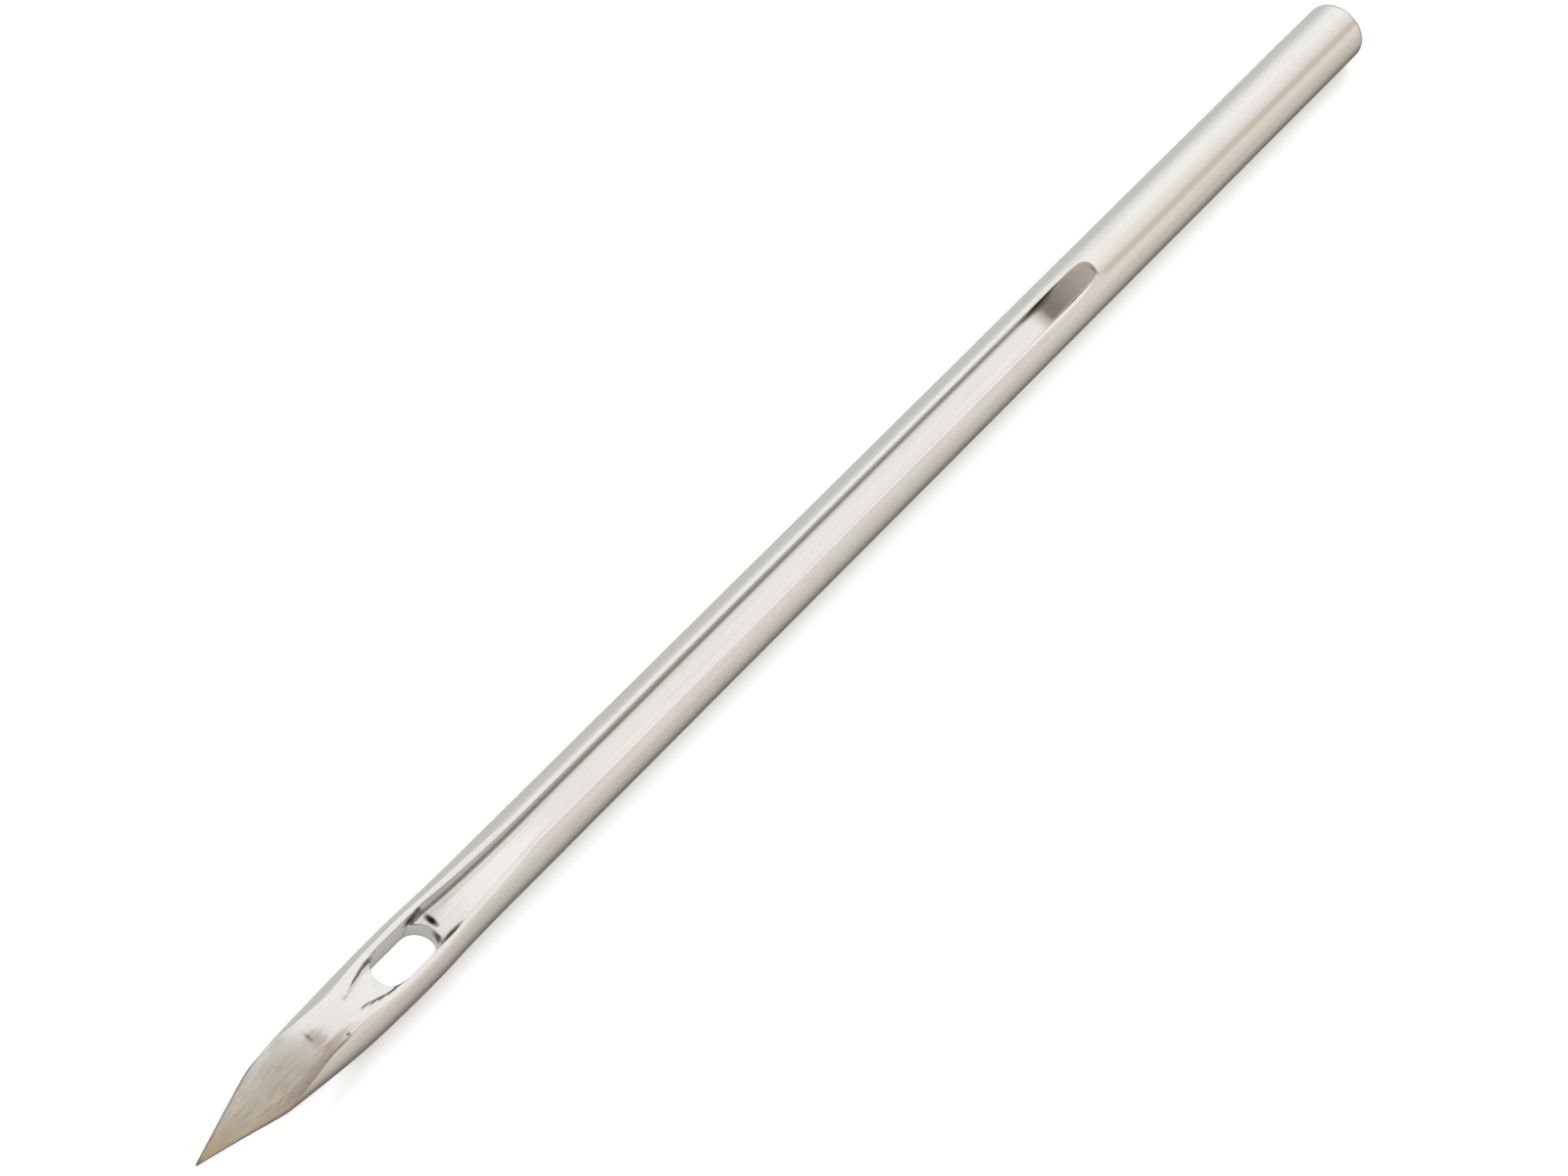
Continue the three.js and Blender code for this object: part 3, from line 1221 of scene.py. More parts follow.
    def close_skin(self, sheet: bmesh.types.BMesh) -> None:
        """Mirrors the half skin, builds the eye's wall, and closes the tip and the butt.

        Args:
            sheet: The half skin, with the eye open.
        """
        bmesh.ops.mirror(
            sheet, geom=[*sheet.verts, *sheet.edges, *sheet.faces], matrix=Matrix(),
            merge_dist=MERGE_DISTANCE, axis="Y",
        )
        bmesh.ops.remove_doubles(sheet, verts=sheet.verts, dist=MERGE_DISTANCE)
        rims = [edge for edge in sheet.edges if edge.is_boundary]
        eye_rims = [
            edge for edge in rims
            if all(self.eye.gap(*self.flat_place(v.co)) < self.eye_margin for v in edge.verts)
        ]
        ends = [edge for edge in rims if edge not in set(eye_rims)]
        wall = bmesh.ops.bridge_loops(sheet, edges=eye_rims)
        bmesh.ops.subdivide_edges(
            sheet, edges=wall["edges"], cuts=self.eye_wall_cuts, use_grid_fill=True,
        )
        bmesh.ops.holes_fill(sheet, edges=ends, sides=0)
        bmesh.ops.recalc_face_normals(sheet, faces=sheet.faces)

    def build(self) -> bpy.types.Object:
        """Builds the needle's closed skin.

        Returns:
            The needle's object, in metres in the part's frame.
        """
        sheet = bmesh.new()
        self.shape_sheet(sheet)
        self.open_eye(sheet)
        self.close_skin(sheet)
        bmesh.ops.scale(sheet, vec=Vector((METRES,) * 3), verts=sheet.verts)
        mesh = bpy.data.meshes.new("steel_needle")
        sheet.to_mesh(mesh)
        sheet.free()
        mesh.shade_smooth()
        needle = bpy.data.objects.new("steel_needle", mesh)
        bpy.context.scene.collection.objects.link(needle)
        needle.modifiers.new("even_shading", "WEIGHTED_NORMAL")
        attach(needle, "root")
        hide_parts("needle")
        return needle

    def dress(self, needle: bpy.types.Object) -> None:
        """Gives the needle's object its steel."""
        needle.data.materials.append(DrawnSteel(self.bar.length).make())


# Materials

def linear(hex_colour: str) -> tuple[float, float, float, float]:
    """Turns an sRGB hex colour linear.

    Args:
        hex_colour: The colour as six hex digits.

    Returns:
        Its linear red, green and blue, and an alpha of 1.
    """
    parts = [int(hex_colour[i:i + 2], 16) / 255 for i in (0, 2, 4)]
    parts = [p / 12.92 if p <= 0.04045 else ((p + 0.055) / 1.055) ** 2.4 for p in parts]
    return (*parts, 1.0)


def add_node(tree: bpy.types.NodeTree, kind: str, values: dict | None = None,
             links: dict | None = None, **settings: object) -> bpy.types.Node:
    """Adds a node to a tree with its settings, socket values and links.

    Args:
        tree: The node tree.
        kind: The node's type name.
        values: Input socket names or numbers, and the values they get.
        links: Input socket names or numbers, and the output sockets they are linked to.
        settings: Attributes of the node itself.

    Returns:
        The new node.
    """
    node = tree.nodes.new(kind)
    for name, value in settings.items():
        setattr(node, name, value)
    for name, value in (values or {}).items():
        node.inputs[name].default_value = value
    for name, socket in (links or {}).items():
        tree.links.new(socket, node.inputs[name])
    return node


def computed(tree: bpy.types.NodeTree, operation: str,
             *terms: bpy.types.NodeSocket | float) -> bpy.types.NodeSocket:
    """Adds a calculation to a node tree.

    Args:
        tree: The node tree.
        operation: Blender's name for the calculation.
        terms: What it is calculated from, each a number or an output socket.

    Returns:
        The result's socket.
    """
    links = {i: term for i, term in enumerate(terms) if isinstance(term, bpy.types.NodeSocket)}
    values = {i: term for i, term in enumerate(terms) if i not in links}
    node = add_node(tree, "ShaderNodeMath", values, links, operation=operation)
    return node.outputs["Value"]


def mapped(tree: bpy.types.NodeTree, value: bpy.types.NodeSocket,
           limits: tuple[float, float] = (0.0, 1.0), results: tuple[float, float] = (0.0, 1.0),
           smooth: bool = False) -> bpy.types.NodeSocket:
    """Adds a node that maps a value from one range to another, held at both ends.

    Args:
        tree: The node tree.
        value: The value's socket.
        limits: Values at which the result starts and stops changing.
        results: The results at those values.
        smooth: Whether it changes with soft ends, not evenly.

    Returns:
        The result's socket.
    """
    node = add_node(
        tree, "ShaderNodeMapRange",
        {
            "From Min": limits[0], "From Max": limits[1],
            "To Min": results[0], "To Max": results[1],
        },
        {"Value": value}, interpolation_type="SMOOTHSTEP" if smooth else "LINEAR",
    )
    return node.outputs["Result"]


# Sockets of a colour mix: its share, its two colours and its result
MIX_SHARE, MIX_FIRST, MIX_SECOND, MIX_RESULT = 0, 6, 7, 2


@dataclass(frozen=True)
class StainOrPaintedLight:
    """A small stain or mark on the steel, or a patch of painted shade, reflection or highlight.

    Attributes:
        centre: Its middle as distance from the tip, across and up, in mm.
        size: Its half sizes in the same three directions.
        colour: What it turns the steel to.
        strength: How much of that colour it has in its middle.
        ragged: How uneven its outline is.
        bright: Whether it is a painted highlight, which isn't duller than the steel round it.
    """

    centre: tuple[float, float, float]
    size: tuple[float, float, float]
    colour: str
    strength: float = 0.8
    ragged: float = 0.5
    bright: bool = False


@dataclass(frozen=True)
class DrawnSteel:
    """Hardened carbon steel wire, drawn, ground and polished to a satin shine.

    To the eye it is a pale silver with long soft reflections, because drawing and polishing leave
    fine lines along the wire. The spear's faces are left as ground, so they are greyer, duller
    and scratched, and the heat of grinding has given the tip a straw colour.

    Attributes:
        length: The needle's length, from which places are told from the tip.
        name: The material's name.
        steel: Colour of the polished steel.
        steel_worn: Its colour where it is worn.
        ground: Colour of the ground faces.
        ground_dark: Their colour in the grinding lines.
        straw: Colour that the heat of grinding gives the tip.
        brown: Colour of the heated band along the near edge of the spear's face.
        edge_shade: Colour of the painted shade along the spear's edges and at the tip.
        painted_reflection: Colour of the painted reflection, a tan line along the shank.
        dull_cut: Colour of the thread groove's run-out.
        roughness: Roughness of the polished steel.
        ground_roughness: Roughness of the ground faces.
        blur_fade: Power that makes the roughness reach further back than the ground colour.
        line_dulling: Roughness that the drawn lines add.
        stain_and_shade_dulling: Roughness that the stains and the patches of painted shade and
            reflection add.
        line_depth: Depth of the drawn lines in the bump.
        line_strengths: Strength of that bump on the polished and on the ground steel.
        line_width: Width of the drawn lines.
        line_length: Length of the drawn lines.
        ground_fade: Distances from the tip between which the ground finish fades out.
        ground_skew: How much nearer to the tip it ends on the far side.
        raggedness: How far the drawn lines fray the end of the ground finish.
        brown_rise: Distances from the tip between which the brown band fades in.
        straw_reach: Distance from the tip at which the straw colour ends.
        straw_lean: How much further it reaches per millimetre towards the near side.
        edge_shade_end: Distances from the tip between which the painted edge shade fades out.
        painted_reflection_turn: Angle of the painted reflection's line from straight up, towards
            the near side.
        painted_reflection_width: Its half width as an angle.
        painted_reflection_start: Distance from the tip at which it starts.
        stains_and_painted_light: Small stains and marks, and patches of painted shade, reflection
            and highlight.
    """

    length: float
    name: str = "drawn_polished_carbon_steel"
    steel: str = "CBC9C6"
    steel_worn: str = "C1BEB9"
    ground: str = "B8B2A8"
    ground_dark: str = "9D9588"
    straw: str = "AF9A80"
    brown: str = "998C81"
    # Painted shade along the spear's edges and at the tip
    edge_shade: str = "6F665C"
    # A painted reflection: a tan line at a fixed angle along the shank
    painted_reflection: str = "BFB1A0"
    dull_cut: str = "978E86"
    roughness: float = 0.17
    ground_roughness: float = 0.47
    blur_fade: float = 0.4
    line_dulling: float = 0.08
    stain_and_shade_dulling: float = 0.3
    line_depth: float = 0.004
    line_strengths: tuple[float, float] = (0.1, 0.5)
    line_width: float = 0.06
    line_length: float = 4.0
    ground_fade: tuple[float, float] = (4.9, 7.1)
    ground_skew: float = 1.7
    raggedness: float = 0.7
    brown_rise: tuple[float, float] = (1.4, 4.2)
    straw_reach: float = 3.0
    straw_lean: float = 1.2
    edge_shade_end: tuple[float, float] = (3.6, 4.6)
    painted_reflection_turn: float = math.radians(25.2)
    painted_reflection_width: float = math.radians(5.6)
    painted_reflection_start: float = 51.0
    stains_and_painted_light: tuple[StainOrPaintedLight, ...] = (
        # The smudge where the ground finish ends, and the brown band's end with its dark mark
        StainOrPaintedLight((5.85, -0.1, 1.03), (0.4, 0.6, 0.4), "988D83", 0.45, 0.9),
        StainOrPaintedLight((5.72, 0.2, 1.03), (0.1, 0.28, 0.4), "6F635B", 0.6, 0.5),
        StainOrPaintedLight((6.2, -0.56, 1.0), (1.1, 0.26, 0.4), "A09185", 0.6, 0.8),
        StainOrPaintedLight((6.2, -0.79, 0.98), (1.2, 0.06, 0.3), "8F7F70", 0.7, 0.5),
        StainOrPaintedLight((6.74, -0.69, 1.0), (0.13, 0.08, 0.3), "5E544E", 0.75, 0.3),
        # A tan spot where the spoon groove's far lip starts, and painted shade in the crease of
        # its near lip
        StainOrPaintedLight((7.7, 0.3, 1.03), (0.16, 0.12, 0.3), "C3AE94", 0.6, 0.4),
        StainOrPaintedLight((8.0, -0.39, 0.95), (0.33, 0.07, 0.3), "6E6860", 0.75, 0.1),
        StainOrPaintedLight((8.35, -0.49, 0.95), (0.33, 0.07, 0.3), "645E57", 0.8, 0.1),
        StainOrPaintedLight((8.7, -0.58, 0.95), (0.33, 0.07, 0.3), "5F5952", 0.85, 0.1),
        StainOrPaintedLight((9.05, -0.65, 0.92), (0.3, 0.07, 0.3), "4A453F", 0.9, 0.1),
        # A painted highlight on the groove's floor behind the eye
        StainOrPaintedLight((15.0, -0.05, 0.25), (3.6, 0.6, 0.5), "D6D4D1", 0.85, 0.15, bright=True),
        # Painted shade on the eye's far wall, on its back end and at the ramp's near corner
        StainOrPaintedLight((11.9, 0.75, 0.42), (0.5, 0.12, 0.45), "302D29", 0.96, 0.15),
        StainOrPaintedLight((12.3, -0.26, -0.25), (0.1, 0.42, 0.3), "4E4841", 0.9, 0.15),
        StainOrPaintedLight((12.6, -0.52, 0.02), (0.8, 0.13, 0.2), "423A32", 0.92, 0.2),
        # A painted dark reflection on the ramp behind the eye
        StainOrPaintedLight((12.56, 0.3, -0.03), (0.16, 0.36, 0.15), "2C221B", 1.0, 0.15),
        # Painted shade in the run-out's far corner, and a darker line on the near half of its end
        StainOrPaintedLight((48.6, 0.42, 0.75), (1.3, 0.17, 0.3), "45413C", 0.75, 0.4),
        StainOrPaintedLight((51.08, -0.24, 1.2), (0.08, 0.3, 0.3), "736B61", 0.7, 0.1),
    )

    def make(self) -> bpy.types.Material:
        """Returns the steel as a material."""
        material = bpy.data.materials.new(self.name)
        material.use_nodes = True
        tree = material.node_tree
        tree.nodes.clear()
        object_place = add_node(tree, "ShaderNodeTexCoord").outputs["Object"]
        place = add_node(
            tree, "ShaderNodeVectorMath",
            {1: (1 / METRES,) * 3, 2: (self.length, 0.0, 0.0)}, {0: object_place},
            operation="MULTIPLY_ADD",
        ).outputs["Vector"]
        lines = self.lines(tree, place)
        ground = self.ground_share(tree, place, lines)
        colour = self.steel_colour(tree, place, lines, ground)
        colour = self.add_painted_reflection(tree, place, lines, colour)
        colour, stained_or_shaded = self.stained_or_shaded(tree, place, colour)
        blurred = computed(tree, "POWER", ground, self.blur_fade)
        rough = mapped(tree, blurred, results=(self.roughness, self.ground_roughness))
        for share, extra in ((lines, self.line_dulling), (stained_or_shaded, self.stain_and_shade_dulling)):
            rough = computed(tree, "MULTIPLY_ADD", share, extra, rough)
        depth = mapped(tree, ground, results=self.line_strengths)
        bump = add_node(
            tree, "ShaderNodeBump", {"Distance": self.line_depth * METRES},
            {"Height": lines, "Strength": depth},
        )
        shader = add_node(
            tree, "ShaderNodeBsdfPrincipled", {"Metallic": 1.0},
            {"Base Color": colour, "Roughness": rough, "Normal": bump.outputs["Normal"]},
        )
        add_node(tree, "ShaderNodeOutputMaterial", links={"Surface": shader.outputs["BSDF"]})
        return material

    def lines(self, tree: bpy.types.NodeTree,
              place: bpy.types.NodeSocket) -> bpy.types.NodeSocket:
        """Adds the fine lines that drawing and polishing leave along the wire.

        Real ones are a few micrometres wide. They are drawn 0.06 mm wide, so that they show.

        Args:
            tree: The material's nodes.
            place: The place in millimetres from the tip.

        Returns:
            The lines' pattern, from 0 to 1.
        """
        across = 1 / self.line_width
        stretched = add_node(
            tree, "ShaderNodeVectorMath", {1: (1 / self.line_length, across, across)},
            {0: place}, operation="MULTIPLY",
        )
        noise = add_node(
            tree, "ShaderNodeTexNoise", {"Scale": 0.5, "Detail": 4.0, "Roughness": 0.6},
            {"Vector": stretched.outputs["Vector"]},
        )
        return mapped(tree, noise.outputs["Fac"], (0.3, 0.7))

    def ground_share(self, tree: bpy.types.NodeTree, place: bpy.types.NodeSocket,
                     lines: bpy.types.NodeSocket) -> bpy.types.NodeSocket:
        """Finds where the spear's faces are as ground, which ends in ragged lines.

        Args:
            tree: The material's nodes.
            place: The place in millimetres from the tip.
            lines: The lines' pattern.

        Returns:
            The share of the ground finish, from 0 to 1.
        """
        parts = add_node(tree, "ShaderNodeSeparateXYZ", links={"Vector": place}).outputs
        far_side = mapped(tree, parts["Y"], (0.1, 0.9), (0.0, self.ground_skew))
        skewed = computed(tree, "ADD", parts["X"], far_side)
        ragged = computed(tree, "MULTIPLY_ADD", lines, self.raggedness, skewed)
        start, end = self.ground_fade
        reach = mapped(tree, ragged, (end, start), smooth=True)
        face = add_node(
            tree, "ShaderNodeAttribute", attribute_name=Mark.GROUND_FACE.value,
        )
        return computed(tree, "MULTIPLY", reach, face.outputs["Fac"])

    def mixed(self, tree: bpy.types.NodeTree, share: bpy.types.NodeSocket,
              first: bpy.types.NodeSocket | str,
              second: bpy.types.NodeSocket | str) -> bpy.types.NodeSocket:
        """Mixes two colours, each a hex colour or a socket, by a share.

        Args:
            tree: The material's nodes.
            share: How much of the second colour there is.
            first: The first colour.
            second: The second colour.

        Returns:
            The mixed colour.
        """
        values, links = {}, {MIX_SHARE: share}
        for socket, colour in ((MIX_FIRST, first), (MIX_SECOND, second)):
            if isinstance(colour, str):
                values[socket] = linear(colour)
            else:
                links[socket] = colour
        node = add_node(tree, "ShaderNodeMix", values, links, data_type="RGBA")
        return node.outputs[MIX_RESULT]

    def steel_colour(self, tree: bpy.types.NodeTree, place: bpy.types.NodeSocket,
                     lines: bpy.types.NodeSocket,
                     ground: bpy.types.NodeSocket) -> bpy.types.NodeSocket:
        """Mixes the steel's colours: bare steel, brown at an edge, straw at the tip, painted edge
        shade.

        Args:
            tree: The material's nodes.
            place: The place in millimetres from the tip.
            lines: The lines' pattern.
            ground: The share of the ground finish.

        Returns:
            The colour.
        """
        along = add_node(tree, "ShaderNodeSeparateXYZ", links={"Vector": place}).outputs
        near_edge = add_node(
            tree, "ShaderNodeAttribute", attribute_name=Mark.FACE_EDGE.value,
        ).outputs["Fac"]
        colour = self.bare_colour(tree, place, lines, ground)
        for share, tint in (
            (self.brown_share(tree, along, lines, ground, near_edge), self.brown),
            (self.straw_share(tree, along), self.straw),
            (self.edge_shade_share(tree, along, near_edge), self.edge_shade),
        ):
            colour = self.mixed(tree, share, colour, tint)
        return colour

    def bare_colour(self, tree: bpy.types.NodeTree, place: bpy.types.NodeSocket,
                    lines: bpy.types.NodeSocket,
                    ground: bpy.types.NodeSocket) -> bpy.types.NodeSocket:
        """Mixes the colours of polished, ground and milled steel.

        Args:
            tree: The material's nodes.
            place: The place in millimetres from the tip.
            lines: The lines' pattern.
            ground: The share of the ground finish.

        Returns:
            The colour.
        """
        cloud = add_node(
            tree, "ShaderNodeTexNoise", {"Scale": 0.9, "Detail": 3.0}, {"Vector": place},
        ).outputs["Fac"]
        uneven = computed(tree, "MULTIPLY", cloud, lines)
        scratched = mapped(tree, lines, (0.3, 1.0), (0.0, 0.65))
        colour = self.mixed(
            tree, ground, self.mixed(tree, uneven, self.steel, self.steel_worn),
            self.mixed(tree, scratched, self.ground, self.ground_dark),
        )
        milled = add_node(
            tree, "ShaderNodeAttribute", attribute_name=Mark.GROOVE_EXIT.value,
        )
        return self.mixed(tree, milled.outputs["Fac"], colour, self.dull_cut)

    def brown_share(self, tree: bpy.types.NodeTree, along: bpy.types.NodeOutputs,
                    lines: bpy.types.NodeSocket, ground: bpy.types.NodeSocket,
                    near_edge: bpy.types.NodeSocket) -> bpy.types.NodeSocket:
        """Finds the brown band along the near edge of the spear's face.

        Args:
            tree: The material's nodes.
            along: The place in millimetres from the tip, as X, Y and Z.
            lines: The lines' pattern.
            ground: The share of the ground finish.
            near_edge: How near the face's edge is.

        Returns:
            The share of brown.
        """
        near_side = mapped(tree, along["Y"], (-0.1, -0.5))
        behind_tip = mapped(tree, along["X"], self.brown_rise)
        ragged = computed(tree, "MULTIPLY_ADD", lines, 0.4, near_edge)
        brown = mapped(tree, ragged, (0.15, 1.05), smooth=True)
        for share in (near_side, behind_tip, ground):
            brown = computed(tree, "MULTIPLY", brown, share)
        return brown

    def straw_share(self, tree: bpy.types.NodeTree,
                    along: bpy.types.NodeOutputs) -> bpy.types.NodeSocket:
        """Finds the straw colour of the tip, which reaches further back on the near side.

        Args:
            tree: The material's nodes.
            along: The place in millimetres from the tip, as X, Y and Z.

        Returns:
            The share of straw.
        """
        leaning = computed(tree, "MULTIPLY_ADD", along["Y"], self.straw_lean, along["X"])
        return mapped(tree, leaning, (self.straw_reach, 0.0), (0.0, 0.9), smooth=True)

    def edge_shade_share(self, tree: bpy.types.NodeTree, along: bpy.types.NodeOutputs,
                   near_edge: bpy.types.NodeSocket) -> bpy.types.NodeSocket:
        """Finds the painted shade along the spear's edges and at the tip, wider on the far side.

        Args:
            tree: The material's nodes.
            along: The place in millimetres from the tip, as X, Y and Z.
            near_edge: How near the face's edge is.

        Returns:
            The share of the painted edge shade.
        """
        far_side = mapped(tree, along["Y"], (0.0, 0.2), (0.0, 0.08))
        widened = computed(tree, "ADD", near_edge, far_side)
        at_edge = mapped(tree, widened, (0.9, 0.97), (0.0, 0.55))
        start, end = self.edge_shade_end
        before_shoulder = mapped(tree, along["X"], (end, start))
        edge_shade = computed(tree, "MULTIPLY", at_edge, before_shoulder)
        at_tip = mapped(tree, along["X"], (0.4, 0.1), (0.0, 0.8))
        return computed(tree, "MAXIMUM", edge_shade, at_tip)

    def add_painted_reflection(self, tree: bpy.types.NodeTree, place: bpy.types.NodeSocket,
                     lines: bpy.types.NodeSocket,
                     colour: bpy.types.NodeSocket) -> bpy.types.NodeSocket:
        """Adds a painted reflection: a tan line along the shank from the groove's end to the
        butt.

        Args:
            tree: The material's nodes.
            place: The place in millimetres from the tip.
            lines: The lines' pattern.
            colour: The steel's colour so far.

        Returns:
            The colour with the painted reflection.
        """
        parts = add_node(tree, "ShaderNodeSeparateXYZ", links={"Vector": place}).outputs
        turn = computed(tree, "ARCTAN2", parts["Y"], parts["Z"])
        off = computed(tree, "ADD", turn, self.painted_reflection_turn)
        width = computed(tree, "ABSOLUTE", off)
        band = mapped(
            tree, width, (self.painted_reflection_width * 1.6, self.painted_reflection_width * 0.3), smooth=True,
        )
        along = mapped(tree, parts["X"], (self.painted_reflection_start, self.painted_reflection_start + 0.5))
        strength = mapped(tree, lines, results=(0.75, 1.0))
        for share in (along, strength):
            band = computed(tree, "MULTIPLY", band, share)
        return self.mixed(tree, band, colour, self.painted_reflection)

    def stained_or_shaded(self, tree: bpy.types.NodeTree, place: bpy.types.NodeSocket,
                colour: bpy.types.NodeSocket,
                ) -> tuple[bpy.types.NodeSocket, bpy.types.NodeSocket]:
        """Adds the small stains and marks, and patches of painted shade, reflection and
        highlight.

        Args:
            tree: The material's nodes.
            place: The place in millimetres from the tip.
            colour: The steel's colour so far.

        Returns:
            The colour with the stains and painted patches, and the strongest share of the dull
            ones.
        """
        stretched = add_node(
            tree, "ShaderNodeVectorMath", {1: (0.2, 1.5, 1.5)}, {0: place},
            operation="MULTIPLY",
        ).outputs["Vector"]
        specks = add_node(
            tree, "ShaderNodeTexNoise", {"Scale": 5.0, "Detail": 2.0}, {"Vector": stretched},
        ).outputs["Fac"]
        dullest = None
        for stain_or_light in self.stains_and_painted_light:
            offset = add_node(
                tree, "ShaderNodeVectorMath", {1: stain_or_light.centre}, {0: place},
                operation="SUBTRACT",
            ).outputs["Vector"]
            sized = add_node(
                tree, "ShaderNodeVectorMath", {1: stain_or_light.size}, {0: offset}, operation="DIVIDE",
            ).outputs["Vector"]
            far = add_node(
                tree, "ShaderNodeVectorMath", links={0: sized}, operation="LENGTH",
            ).outputs["Value"]
            # The specks are a half on average, so they move the outline in as often as out
            uneven = computed(tree, "MULTIPLY_ADD", specks, stain_or_light.ragged * 2, far)
            share = mapped(
                tree, uneven, (1.15 + stain_or_light.ragged, 0.3 + stain_or_light.ragged), (0.0, stain_or_light.strength),
                smooth=True,
            )
            colour = self.mixed(tree, share, colour, stain_or_light.colour)
            if stain_or_light.bright:
                continue
            dullest = share if dullest is None else computed(tree, "MAXIMUM", dullest, share)
        return colour, dullest


# Studio

@dataclass(frozen=True)
class Shade:
    """How bright and warm the surroundings are at one place.

    Attributes:
        place: An angle in degrees or a distance in millimetres.
        level: The brightness, where 1 is white paper in full light.
        warmth: How far red is above and blue below the brightness.
    """

    place: float
    level: float
    warmth: float = 0.0


def ramp(tree: bpy.types.NodeTree, place: bpy.types.NodeSocket, shades: Sequence[Shade],
         brightest: float) -> bpy.types.NodeSocket:
    """Adds a colour ramp through shades, from the first place to the last.

    Args:
        tree: The node tree.
        place: The place along the ramp.
        shades: The shades in order.
        brightest: The brightness that the ramp's white stands for.

    Returns:
        The ramp's colour.
    """
    first, last = shades[0].place, shades[-1].place
    along = mapped(tree, place, (first, last))
    node = add_node(tree, "ShaderNodeValToRGB", links={"Fac": along})
    stops = node.color_ramp.elements
    while len(stops) < len(shades):
        stops.new(0.5)
    for stop, shade in zip(stops, shades):
        stop.position = (shade.place - first) / (last - first)
        level = shade.level / brightest
        warmth = shade.warmth * level
        stop.color = (level + 0.7 * warmth, level, level - 1.3 * warmth, 1.0)
    return node.outputs["Color"]


@dataclass(frozen=True)
class Softbox:
    """A round softbox that lights the table and throws the needle's shadow.

    Attributes:
        name: What it is.
        toward: Direction from the needle, as along, far side and up.
        distance: How far off it is, in metres.
        diameter: Its diameter in metres.
        power: Its power in watts.
    """

    name: str
    toward: tuple[float, float, float]
    distance: float
    diameter: float
    power: float

    def build(self, aim: Vector) -> None:
        """Adds the softbox.

        Args:
            aim: The point that it is turned towards, in metres.
        """
        data = bpy.data.lights.new(self.name, "AREA")
        data.shape = "DISK"
        data.size = self.diameter
        data.energy = self.power
        light = bpy.data.objects.new(self.name, data)
        bpy.context.scene.collection.objects.link(light)
        toward = Vector(self.toward).normalized()
        turn = toward.to_track_quat("Z", "Y")
        light.matrix_world = Matrix.LocRotScale(aim + toward * self.distance, turn, None)
        light.visible_camera = False
        light.visible_glossy = False


@dataclass(frozen=True)
class BrightPatch:
    """An oval patch of the table that glows until it is as white as paper in full light.

    Attributes:
        middle: Its middle along and across the needle, in the part's frame, in mm.
        size: Half its size along and across the needle, in mm.
        glow: How much light it adds, where 1 is white paper in full light.
        edge: Width of its soft edge, as a share of its size.
    """

    middle: Point
    size: Point
    glow: float
    edge: float

    def strength(self, tree: bpy.types.NodeTree,
                 place: bpy.types.NodeSocket) -> bpy.types.NodeSocket:
        """Adds the nodes that find the patch's glow.

        Args:
            tree: The table's nodes.
            place: The place on the table, in metres.

        Returns:
            The glow's strength.
        """
        middle = tuple(part * METRES for part in self.middle)
        scale = tuple(1 / (part * METRES) for part in self.size)
        offset = add_node(
            tree, "ShaderNodeVectorMath", {1: (*middle, 0.0)}, {0: place}, operation="SUBTRACT",
        ).outputs["Vector"]
        sized = add_node(
            tree, "ShaderNodeVectorMath", {1: (*scale, 0.0)}, {0: offset}, operation="MULTIPLY",
        ).outputs["Vector"]
        far = add_node(
            tree, "ShaderNodeVectorMath", links={0: sized}, operation="LENGTH",
        ).outputs["Value"]
        return mapped(tree, far, (1.0 + self.edge, 1.0), (0.0, self.glow))


